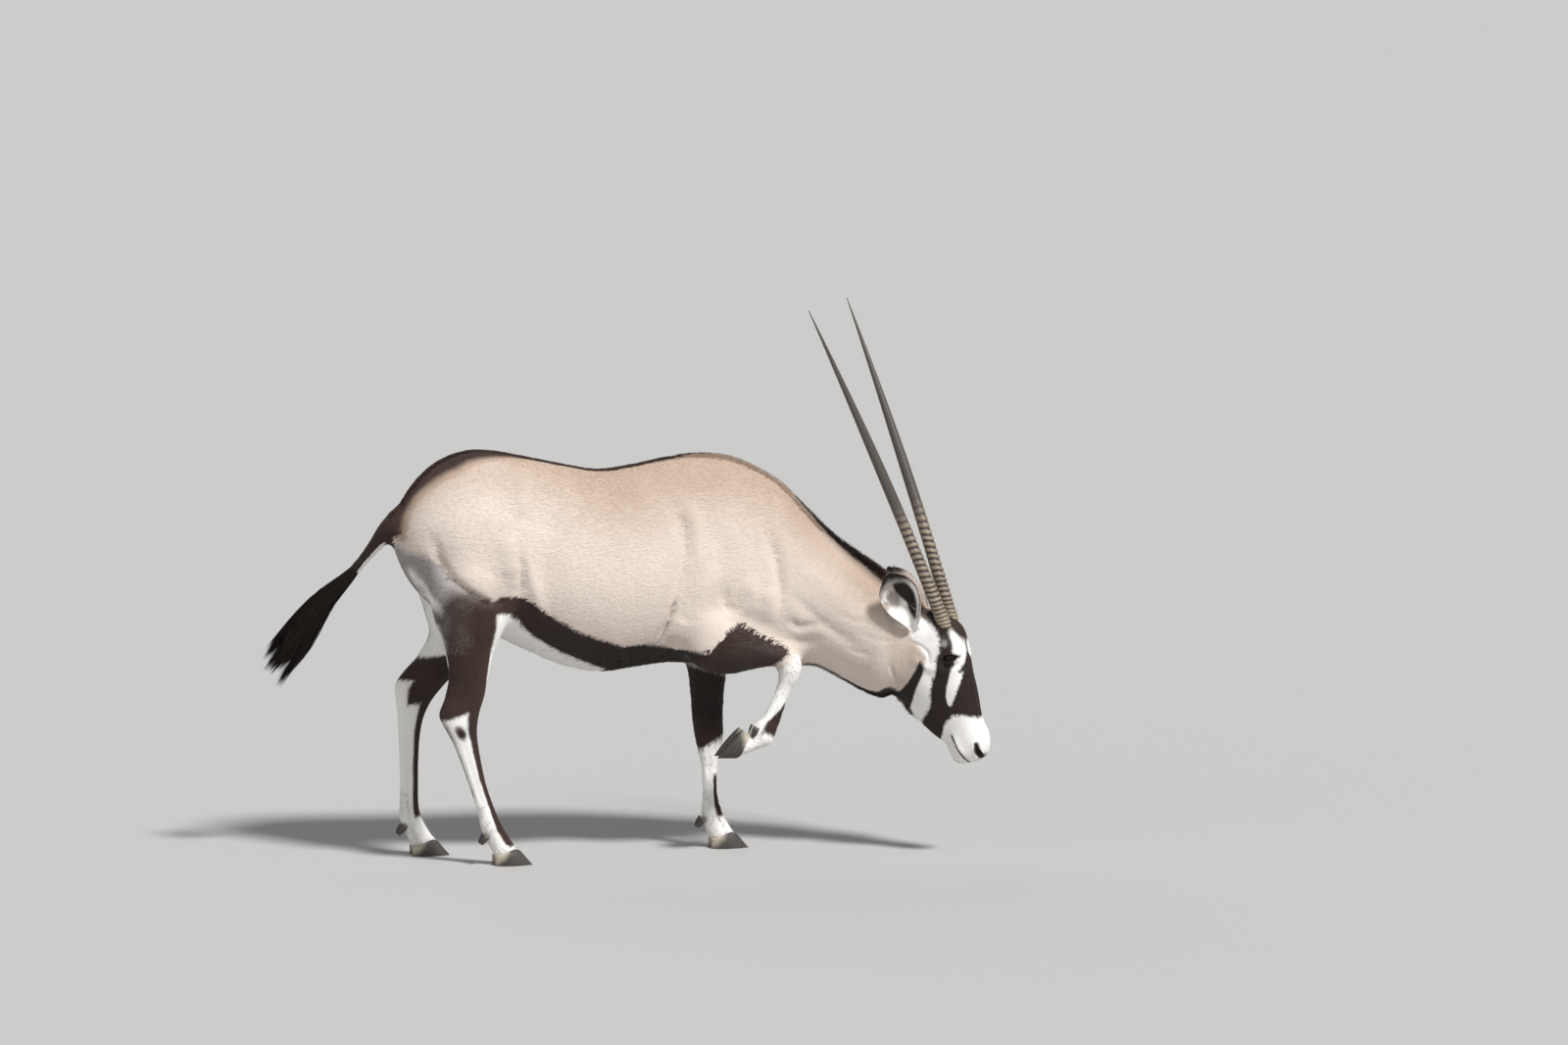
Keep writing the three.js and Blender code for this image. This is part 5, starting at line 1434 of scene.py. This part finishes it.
def eye_material():
    """A dark brown iris round a wide level pupil, under a wet clear coat, and darker under the lids."""
    n = Nodes("eye")
    gx, gz = n.attribute("gaze_x"), n.attribute("gaze_z")
    away = (gx * gx + gz * gz).math("SQRT")
    pupil = (gx * gx * 6.0 + gz * gz * 26.0).math("SQRT").between(0.9, 1.15)
    rays = n.noise(n.add("ShaderNodeCombineXYZ", {}, {"X": gx * 30, "Y": gz * 30, "Z": away * 4}), 1.0, 3.0)
    iris = n.mix(rays, (0.006, 0.003, 0.002, 1), (0.018, 0.008, 0.004, 1))
    color = n.mix(pupil, (0.002, 0.002, 0.003, 1), iris)
    color = n.mix(away.between(0.80, 0.95), color, (0.012, 0.009, 0.008, 1))
    return n.finish(color, 0.06, None, Specular_IOR_Level=0.28)


# Hair as mesh

def laid(skin, roots, ways, length, count):
    """Lines that run from their roots along the skin: straight runs of `count` points, each brought to the nearest
    place of the skin, but no further than a third of its length. Gives (number, count, 3)."""
    share = np.linspace(0, 1, count)[None, :, None]
    lines = roots[:, None] + ways[:, None] * share * length[:, None, None]
    guide = bpy.data.meshes.new("guide")
    guide.vertices.add(lines.shape[0] * count)
    put_points(guide, to_part(lines.reshape(-1, 3)))
    holder = bpy.data.objects.new("guide", guide)
    bpy.context.scene.collection.objects.link(holder)
    wrap = holder.modifiers.new("lay", "SHRINKWRAP")
    wrap.target = skin
    wrap.wrap_method = "NEAREST_SURFACEPOINT"
    evaluated(holder)
    guide = holder.data
    moved = body_points(guide).reshape(lines.shape) - lines
    bpy.data.objects.remove(holder)
    bpy.data.meshes.remove(guide)
    far = np.linalg.norm(moved, axis=2, keepdims=True)
    return lines + moved * np.minimum(1, 0.35 * length[:, None, None] / np.maximum(far, 1e-6))


def tufts(lines, normals, width, thick, lift):
    """Closed flat tufts along lines of three points: a point below the skin at the root, a flat three-sided ring
    at the widest place and a point at the tip, which stands `lift` out. Five points and six triangles a tuft:
    ring = middle +- across * width / 2, middle + normal * thick."""
    across = unit(np.cross(normals, unit(lines[:, 2] - lines[:, 0])))
    width, thick, lift = width[:, None], thick[:, None], lift[:, None]
    middle = lines[:, 1] + normals * lift * 0.35
    points = np.stack([
        lines[:, 0] - normals * thick * 1.5, middle + across * width / 2 - normals * thick * 0.4,
        middle - across * width / 2 - normals * thick * 0.4, middle + normals * thick, lines[:, 2] + normals * lift,
    ], 1)
    cell = np.array([[0, 2, 1], [0, 1, 3], [0, 3, 2], [4, 1, 2], [4, 3, 1], [4, 2, 3]])
    return points.reshape(-1, 3), repeated(cell, len(lines), 5)


def repeated(cell, count, per):
    """The triangles of one tuft for each of `count` tufts of `per` points."""
    return ((np.arange(count) * per)[:, None, None] + np.array(cell)[None]).reshape(-1, 3)


def skin_sample(skin):
    """The skin's triangles with their areas, corners and normals, for setting hair on it."""
    tri, points = triangles_of(skin.data), body_points(skin.data)
    p = points[tri]
    area = np.linalg.norm(np.cross(p[:, 1] - p[:, 0], p[:, 2] - p[:, 0]), axis=1) / 2
    return dict(tri=tri, points=points, normals=normals_of(skin.data), area=area)


def scatter(sample, weight, count, random):
    """Random roots on the skin, as many as `count`, more where `weight` is high: points and normals."""
    chance = sample["area"] * weight
    pick = random.choice(len(chance), count, p=chance / chance.sum())
    u, v = random.random((2, count, 1))
    flip = (u + v) > 1
    u, v = np.where(flip, 1 - u, u), np.where(flip, 1 - v, v)
    tri = sample["tri"][pick]
    mix = lambda a: a[tri[:, 0]] * (1 - u - v) + a[tri[:, 1]] * u + a[tri[:, 2]] * v
    return mix(sample["points"]), unit(mix(sample["normals"]))


def unwrap_place(at):
    """A place from 0 to 1 on an unwrap of the skin: a tile for the trunk and neck, one for the head and one for
    each leg, with the run along it to the right and the turn round it upwards."""
    def tile(name, left, width, length):
        turn = (at[name]["angle"] + 90) / 180
        turn = np.where(at["y"] > 0, turn, 2 - turn) / 2
        return np.stack([left + width * at[name]["along"] / length, 0.02 + 0.46 * turn], 1)

    place = np.where((at["x"] > 815)[:, None], tile("head", 0.62, 0.35, 620), tile("trunk", 0.02, 0.56, 2000))
    for number, name in enumerate(LEGS):
        here = at[name]
        turn = np.arctan2(here["across"], 1 - 2 * here["part"]) / (2 * np.pi) + 0.5
        leg = np.stack([0.02 + 0.24 * number + 0.2 * turn, 0.54 + 0.42 * np.clip(here["along"] / 1150, 0, 1)], 1)
        place = np.where(((here["off"] < 0.3) & (at["z"] < 760))[:, None], leg, place)
    return place


def hair_piece(name, points, faces, roots, per, material, smooth=True):
    """A coat piece: tufts with the markings of their roots, strand coordinates, and the OFBake map, where each
    tuft is a patch about 0.003 across at its root's place on the unwrap."""
    obj = new_object(name, to_part(points), faces, smooth)
    mesh = obj.data
    at = anatomy(roots)
    mark(mesh, at, per)
    random = np.random.default_rng(len(roots))
    strand = np.repeat(random.uniform(0, 900, (len(roots), 3)), per, 0)
    strand[:, 0] += np.tile(np.arange(per), len(roots)) * 5.0
    keep(mesh, "strand", strand)
    ring = 2 * np.pi * np.arange(per) / per
    patch = 0.0015 * np.stack([np.cos(ring), np.sin(ring)], 1)
    spot = (unwrap_place(at)[:, None] + patch[None]).reshape(-1, 2)
    corners = np.zeros(len(mesh.loops), np.int32)
    mesh.loops.foreach_get("vertex_index", corners)
    layer = mesh.uv_layers.new(name="OFBake")
    layer.uv.foreach_set("vector", spot[corners].astype(np.float32).ravel())
    mesh.materials.append(material)
    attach(obj, BODY)
    return obj


def strands(lines, width, thick, outward):
    """Long locks along lines of points: a three-sided tapered tube each. lines is (n, k, 3); gives points and
    triangles with 3 (k - 1) + 1 points a lock."""
    n, k = lines.shape[:2]
    way = unit(np.gradient(lines, axis=1))
    across = unit(np.cross(outward[:, None], way))
    out = np.cross(way, across)
    share = np.linspace(0, 1, k)[None, :, None]
    shape = (0.55 + 0.9 * share) * (1 - share) ** 0.55 * (1.0 - 0.25 * share) + 0.02
    wide, deep = width[:, None, None] * shape / 2, thick[:, None, None] * shape / 2
    ring = np.stack([
        lines + across * wide - out * deep, lines - across * wide - out * deep, lines + out * deep,
    ], 2)[:, :-1]
    points = np.concatenate([ring.reshape(n, -1, 3), lines[:, -1:]], 1)
    cell = []
    for i in range(k - 2):
        for j in range(3):
            a, b = 3 * i + j, 3 * i + (j + 1) % 3
            cell += [[a, b, b + 3], [a, b + 3, a + 3]]
    last, tip = 3 * (k - 2), 3 * (k - 1)
    cell += [[last, last + 1, tip], [last + 1, last + 2, tip], [last + 2, last, tip], [0, 2, 1]]
    return points.reshape(-1, 3), repeated(cell, n, points.shape[1]), points.shape[1]


# Add-on: settings

class GemsbokOptions(bpy.types.PropertyGroup):
    skin_voxel: bpy.props.FloatProperty(
        name="Skin detail", description="Edge length of the skin's faces before thinning", default=0.0036,
        unit="LENGTH")
    skin_triangles: bpy.props.IntProperty(
        name="Skin triangles", description="Triangles left in the skin before the face is cut finer", default=108000)
    coat_tufts: bpy.props.IntProperty(
        name="Coat tufts", description="Short tufts over the whole coat", default=140000)
    brush_locks: bpy.props.IntProperty(
        name="Brush locks", description="Locks in the tail's brush", default=4800)
    flank_color: bpy.props.FloatVectorProperty(
        name="Flank", description="Colour of the flanks", subtype="COLOR", size=4,
        default=(0.69, 0.595, 0.525, 1))
    back_color: bpy.props.FloatVectorProperty(
        name="Back", description="Colour of the upper back", subtype="COLOR", size=4,
        default=(0.45, 0.335, 0.255, 1))
    rump_color: bpy.props.FloatVectorProperty(
        name="Rump", description="Colour of the buttocks", subtype="COLOR", size=4,
        default=(0.20, 0.20, 0.208, 1))
    white_color: bpy.props.FloatVectorProperty(
        name="White", description="Colour of the white markings", subtype="COLOR", size=4,
        default=(0.90, 0.88, 0.845, 1))
    black_color: bpy.props.FloatVectorProperty(
        name="Black", description="Colour of the black markings", subtype="COLOR", size=4,
        default=(0.011, 0.009, 0.0085, 1))
    brown_color: bpy.props.FloatVectorProperty(
        name="Brown", description="Brown of the dark markings", subtype="COLOR", size=4,
        default=(0.070, 0.034, 0.023, 1))
    camera_distance: bpy.props.FloatProperty(
        name="Camera distance", description="From the camera to the animal", default=45.0, unit="LENGTH")


# Add-on: pieces

FLESH = [
    "torso", "neck", "head", "tail_dock", "ear_left", "ear_right",
    "hind_thigh_left", "hind_thigh_right", "hind_cannon_left", "hind_cannon_right",
    "hind_pastern_left", "hind_pastern_right", "fore_arm_left", "fore_arm_right",
    "fore_cannon_left", "fore_cannon_right", "fore_pastern_left", "fore_pastern_right",
]


class GEMSBOK_OT_skin(bpy.types.Operator):
    """One skin over the whole animal, with its relief, lids, nostrils, lips and markings"""
    bl_idname = "gemsbok.skin"
    bl_label = "Skin"

    def execute(self, context):
        options = context.scene.gemsbok
        skin = build_skin(options.skin_voxel)
        displace_skin(skin)
        thin_skin(skin, options.skin_triangles)
        carve_face(skin)
        mesh = skin.data
        points = body_points(mesh)
        at = anatomy(points)
        mark(mesh, at)
        set_strands(mesh, points, normals_of(mesh), at)
        mesh.polygons.foreach_set("use_smooth", np.full(len(mesh.polygons), True))
        mesh.materials.clear()
        mesh.materials.append(coat_material(options, "coat_skin", True))
        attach(skin, BODY)
        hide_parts(*FLESH)
        return {"FINISHED"}


class GEMSBOK_OT_horns(bpy.types.Operator):
    """Two straight ringed horns"""
    bl_idname = "gemsbok.horns"
    bl_label = "Horns"

    def execute(self, context):
        material = horn_material()
        for name, side in (("right", -1), ("left", 1)):
            grid, fields = horn_grid(side)
            points, faces = closed_tube(grid)
            horn = new_object("ringed_horn_" + name, to_part(on_head(points)), faces)
            for key, values in fields.items():
                rows = values.reshape(-1, *values.shape[2:])
                keep(horn.data, key, np.concatenate([rows, rows[:1], rows[-1:]]))
            horn.data.materials.append(material)
            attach(horn, BODY)
            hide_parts("horn_" + name)
        return {"FINISHED"}


class GEMSBOK_OT_hooves(bpy.types.Operator):
    """Two claws and two dewclaws on each foot"""
    bl_idname = "gemsbok.hooves"
    bl_label = "Hooves"

    def execute(self, context):
        material = hoof_material()
        for name, leg in LEGS.items():
            parts, level, toe = [], [], []
            for side in (-1, 1):
                for make in (claw_grid, dewclaw_grid):
                    grid, height, along = make(leg, side)
                    parts.append(closed_tube(grid))
                    level.append(np.concatenate([height.ravel(), [0.0, 1.0]]))
                    toe.append(np.concatenate([along.ravel(), [0.5, 0.5]]))
            points, faces = joined(parts)
            hoof = new_object("claws_" + name, to_part(points), faces)
            keep(hoof.data, "level", np.concatenate(level))
            keep(hoof.data, "toe", np.concatenate(toe))
            hoof.data.materials.append(material)
            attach(hoof, BODY)
            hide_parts(f"hoof_{name}_inner", f"hoof_{name}_outer")
        return {"FINISHED"}


class GEMSBOK_OT_eyes(bpy.types.Operator):
    """Two dark eyes"""
    bl_idname = "gemsbok.eyes"
    bl_label = "Eyes"

    def execute(self, context):
        material = eye_material()
        for name, side in (("right", -1), ("left", 1)):
            grid, fields = eye_grid(side)
            points, faces = closed_tube(grid)
            eye = new_object("eyeball_" + name, to_part(on_head(points)), faces)
            for key, values in fields.items():
                keep(eye.data, key, np.concatenate([values.ravel(), [values[0].mean()], [values[-1].mean()]]))
            eye.data.materials.append(material)
            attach(eye, BODY)
            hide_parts("eye_" + name)
        return {"FINISHED"}


class GEMSBOK_OT_brush(bpy.types.Operator):
    """The tail's long black brush, in clumps that taper to ragged tips"""
    bl_idname = "gemsbok.brush"
    bl_label = "Tail brush"

    def execute(self, context):
        options = context.scene.gemsbok
        random = np.random.default_rng(21)
        material = brush_material(options)
        count = options.brush_locks // 1
        clumps = 34
        clump_angle = random.uniform(0, 2 * np.pi, clumps)
        clump_reach = np.sqrt(random.uniform(0.02, 1.0, clumps))
        clump_end = random.uniform(0.80, 1.0, clumps)
        pick = random.integers(0, clumps, count)
        start = random.uniform(0.33, 0.70, count)
        end = np.minimum(clump_end[pick] - random.uniform(0, 0.10, count) ** 1.2, 1.0)
        angle = clump_angle[pick] + random.normal(0, 0.35, count)
        reach = np.clip(clump_reach[pick] + random.normal(0, 0.08, count), 0.05, 1.08)
        share = np.linspace(0, 1, 8)[None, :]
        part = start[:, None] + (end - start)[:, None] * share
        middle, _, radius, wide, deep = [
            a.reshape(*part.shape, -1) for a in tail_frame(np.minimum(part, 1.0).ravel())]
        turn = angle[:, None] + (clump_angle[pick] - angle)[:, None] * bell(share - 1.0, 0.30)
        spread = (0.62 + (reach[:, None] - 0.62) * np.sin(np.pi / 2 * np.minimum(1, share * 1.4)))
        lines = middle + (radius[..., 0] * spread)[..., None] * around(turn, wide, deep)
        outward = unit(around(angle, wide[:, 0], deep[:, 0]))
        points, faces, per = strands(
            lines, random.uniform(2.6, 5.0, count), random.uniform(1.2, 2.2, count), outward)
        half, size = count // 2, len(faces) // count
        for number, (first, last) in enumerate(((0, half), (half, count))):
            piece = hair_piece(
                f"tail_brush_hair_{number + 1}", points[first * per:last * per], faces[:size * (last - first)],
                lines[first:last, 0], per, material)
            if number == 0:
                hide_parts("tail_brush")
        return {"FINISHED"}


class GEMSBOK_OT_coat(bpy.types.Operator):
    """Short tufts over the whole coat, and longer ones on the mane, back, throat, belly and legs"""
    bl_idname = "gemsbok.coat"
    bl_label = "Coat"

    def execute(self, context):
        options = context.scene.gemsbok
        skin = bpy.data.objects["skin"]
        material = coat_material(options, "coat_hair", False)
        sample = skin_sample(skin)
        at = anatomy(sample["points"][sample["tri"]].mean(1))
        self.cover(options.coat_tufts // (1), skin, sample, at, material)
        self.fringes(skin, sample, at, material)
        return {"FINISHED"}

    def cover(self, count, skin, sample, at, material):
        """Short tufts everywhere but on the soles, the brush, the nostrils, the lips and the eyes."""
        random = np.random.default_rng(100)
        x, y, z = at["x"], at["y"], at["z"]
        mouth = line_distance(side_view(x, z), MOUTH_FOLD)
        bare = (z < 38) | (x < -800) | (nostril_distance(x, y, z) < 9) | (mouth < 4) | (
            (slit_distance(x, z) > -5) & (x > 900))
        roots, normals = scatter(sample, ~bare / self.size(at) ** 2, count, random)
        here = anatomy(roots)
        size = self.size(here)
        ways = along_skin(hair_way(here) + random.normal(0, 0.07, (count, 3)), normals)
        lines = laid(skin, roots, ways, 22 * size * random.uniform(0.75, 1.3, count), 3)
        for number, pick in enumerate(np.array_split(np.argsort(here["x"]), 7)):
            points, faces = tufts(
                lines[pick], normals[pick], 3.1 * size[pick], 0.16 + 0.2 * size[pick], 0.8 * size[pick])
            hair_piece(f"coat_{number + 1}", points, faces, roots[pick], 5, material, False)

    def size(self, at):
        """Size of a tuft as a part of the largest: small on the face, the ears, the feet and the markings' edges."""
        legs = np.clip((720 - at["z"]) / 450, 0, 1) * (at["x"] < 560)
        face = np.maximum(step_up(at["x"], 790, 880), at["ear_left"]["on"] | at["ear_right"]["on"])
        fields = markings(at)
        edge = bell(np.minimum(np.abs(fields["black"]), np.abs(fields["white"])), 14)
        return (1 - 0.42 * legs) * (1 - 0.55 * face) * (1 - 0.4 * edge * (1 - face))

    def fringes(self, skin, sample, at, material):
        """Longer hair in some places of the body."""
        x, y, z = at["x"], at["y"], at["z"]
        wide = np.abs(y)
        top, bottom = back_and_belly(x)
        stripe = crest_distance(x, y) < table_value(DORSAL_HALF_WIDTH, x) - 3
        mane = (x > 380) & (x < 900) & stripe & (z > top - 60)
        crest = (x > 180) & (x < 600) & (np.abs(y + 6) < 16) & (z > top - 40)
        horn_roots = line_distance(np.stack([x, wide, z], 1), [(966, 40, 660), (944, 50, 696)]) < 30
        back = (x > -690) & (x <= 430) & (wide < 22) & (z > top - 60)
        throat = (x > 430) & (x < 866) & (wide < 26) & (z < bottom + 40)
        chest = (x > -340) & (x <= 520) & (z < bottom + 50) & (wide < 130)
        ears = np.any([at["ear_" + name]["on"] & at["ear_" + name]["inner"] for name in EARS], 0)
        legs = [at[name] for name in LEGS]
        heel = np.any([
            (leg["off"] < 0.3) & (leg["place"] > 1.75) & (leg["part"] > 0.55) & (leg["place"] < 2.9)
            for leg in legs], 0)
        coronets = np.any([(leg["off"] < 0.4) & (leg["place"] > 2.72) & (leg["place"] < 2.97) for leg in legs], 0)
        # name, where, number, length, width, how far the tips stand out, and the way where it differs
        kinds = (
            ("mane", mane, 5000, 40, 2.2, 15, (-0.62, 0.0, 0.40)), ("back", back, 3500, 30, 2.4, 4, None),
            ("throat", throat, 4500, 46, 2.2, 12, (-0.70, 0.0, -0.50)), ("chest", chest, 3000, 24, 2.6, 4, None),
            ("ears", ears, 2000, 16, 1.0, 1.5, None), ("fetlocks", heel, 2500, 20, 1.8, 4, None),
            ("crest", crest, 3000, 34, 1.8, 7, (-0.62, 0.0, 0.30)), ("coronets", coronets, 2600, 20, 1.4, 6, None),
            ("horn_roots", horn_roots, 1500, 17, 1.2, 3, (-0.45, 0.0, 0.9)),
        )
        for number, (name, inside, count, length, width, lift, way) in enumerate(kinds):
            random = np.random.default_rng(31 + number)
            count = count // 1
            roots, normals = scatter(sample, inside.astype(float), count, random)
            here = anatomy(roots)
            ways = turned(np.tile(np.array(way), (count, 1)), here["x"]) if way else hair_way(here)
            ways = along_skin(ways + random.normal(0, 0.10, (count, 3)), normals)
            grown = step_up(here["x"], 380, 620) * 0.6 + 0.4 if name in ("mane", "throat") else np.ones(count)
            lines = laid(skin, roots, ways, length * random.uniform(0.6, 1.2, count) * grown, 4)
            rise = np.linspace(0, 1, 4)[None, :, None] ** 1.4 * lift * random.uniform(0.4, 1.1, (count, 1, 1)) - 0.8
            lines = lines + normals[:, None] * (rise * grown[:, None, None])
            points, faces, per = strands(lines, np.full(count, width), np.full(count, width * 0.5), normals)
            hair_piece("fringe_" + name, points, faces, roots, per, material)


# The photo's view of the animal: where the camera stands, and its frame in pixels
VIEW_YAW, VIEW_PITCH = math.radians(13.5), math.radians(8.0)
PIXELS_PER_METRE = 350.0
FRAME_WIDTH, FRAME_MIDDLE = 1600, (800, 533)
ORIGIN_IN_FRAME = (640, 870.4)  # where the body's own origin lies
SENSOR_WIDTH = 36.0
FLOOR_REACH = 60.0
# Name, place, spread in degrees and strength of the suns
LIGHTS = (
    ("key", (3.5, -6.0, 9.5), 10.0, 4.1), ("fill", (-7.0, -6.0, 4.0), 60.0, 0.35), ("rim", (-2.0, 7.0, 6.0), 40.0, 0.35),
)


class GEMSBOK_OT_stage(bpy.types.Operator):
    """The pale floor, the soft lights and the camera"""
    bl_idname = "gemsbok.stage"
    bl_label = "Stage"

    def execute(self, context):
        distance = context.scene.gemsbok.camera_distance
        sin_yaw, cos_yaw = math.sin(VIEW_YAW), math.cos(VIEW_YAW)
        sin_pitch, cos_pitch = math.sin(VIEW_PITCH), math.cos(VIEW_PITCH)
        right = np.array([cos_yaw, -sin_yaw, 0.0])
        up = np.array([sin_pitch * sin_yaw, sin_pitch * cos_yaw, cos_pitch])
        ahead = np.array([sin_yaw * cos_pitch, cos_yaw * cos_pitch, -sin_pitch])
        aside = (FRAME_MIDDLE[0] - ORIGIN_IN_FRAME[0]) / PIXELS_PER_METRE
        above = (ORIGIN_IN_FRAME[1] - FRAME_MIDDLE[1]) / PIXELS_PER_METRE
        target = to_part([[0.0, 0.0, 0.0]])[0] + right * aside + up * above
        camera = bpy.data.cameras.new("camera")
        camera.sensor_width = SENSOR_WIDTH
        camera.lens = SENSOR_WIDTH * distance / (FRAME_WIDTH / PIXELS_PER_METRE)
        camera.clip_end = 400.0
        context.scene.camera = self.placed(context, "camera", camera, target - ahead * distance, ahead)
        context.scene.view_settings.view_transform = "Standard"
        self.floor(context)
        for name, place, spread, power in LIGHTS:
            light = bpy.data.lights.new(name, "SUN")
            light.angle = math.radians(spread)
            light.energy = power
            self.placed(context, name, light, place, Vector((0.1, 0.0, 0.7)) - Vector(place))
        return {"FINISHED"}

    def placed(self, context, name, data, place, ahead):
        """An object at a place that looks ahead."""
        holder = bpy.data.objects.new(name, data)
        context.scene.collection.objects.link(holder)
        holder.location = place
        holder.rotation_euler = Vector(ahead).to_track_quat("-Z", "Y").to_euler()
        return holder

    def floor(self, context):
        """A wide pale floor under a pale sky."""
        points = FLOOR_REACH * np.array([[-1, -1, 0], [-1, 1, 0], [1, -1, 0], [1, 1, 0]], float)
        floor = new_object("floor", points, np.array([[0, 2, 3], [0, 3, 1]]), smooth=False)
        floor.data.materials.append(Nodes("floor").finish((0.43, 0.423, 0.413, 1), 0.85))
        world = bpy.data.worlds.new("studio")
        world.use_nodes = True
        sky = world.node_tree.nodes["Background"]
        sky.inputs["Color"].default_value = (0.80, 0.83, 0.88, 1)
        sky.inputs["Strength"].default_value = 0.33
        context.scene.world = world


class GEMSBOK_PT_panel(bpy.types.Panel):
    bl_label = "Gemsbok"
    bl_idname = "GEMSBOK_PT_panel"
    bl_space_type = "VIEW_3D"
    bl_region_type = "UI"
    bl_category = "Gemsbok"

    def draw(self, context):
        for key in GemsbokOptions.__annotations__:
            self.layout.prop(context.scene.gemsbok, key)
        for operator in OPERATORS:
            self.layout.operator(operator.bl_idname)


OPERATORS = (
    GEMSBOK_OT_stage, GEMSBOK_OT_skin, GEMSBOK_OT_horns, GEMSBOK_OT_hooves, GEMSBOK_OT_eyes, GEMSBOK_OT_brush,
    GEMSBOK_OT_coat,
)


def register():
    for item in (GemsbokOptions, *OPERATORS, GEMSBOK_PT_panel):
        bpy.utils.register_class(item)
    bpy.types.Scene.gemsbok = bpy.props.PointerProperty(type=GemsbokOptions)


def unregister():
    del bpy.types.Scene.gemsbok
    for item in (GEMSBOK_PT_panel, *reversed(OPERATORS), GemsbokOptions):
        bpy.utils.unregister_class(item)


def main():
    register()
    bpy.ops.gemsbok.stage()
    bpy.ops.gemsbok.skin()
    bpy.ops.gemsbok.horns()
    bpy.ops.gemsbok.hooves()
    bpy.ops.gemsbok.eyes()
    bpy.ops.gemsbok.brush()
    bpy.ops.gemsbok.coat()


if __name__ == "__main__":
    main()
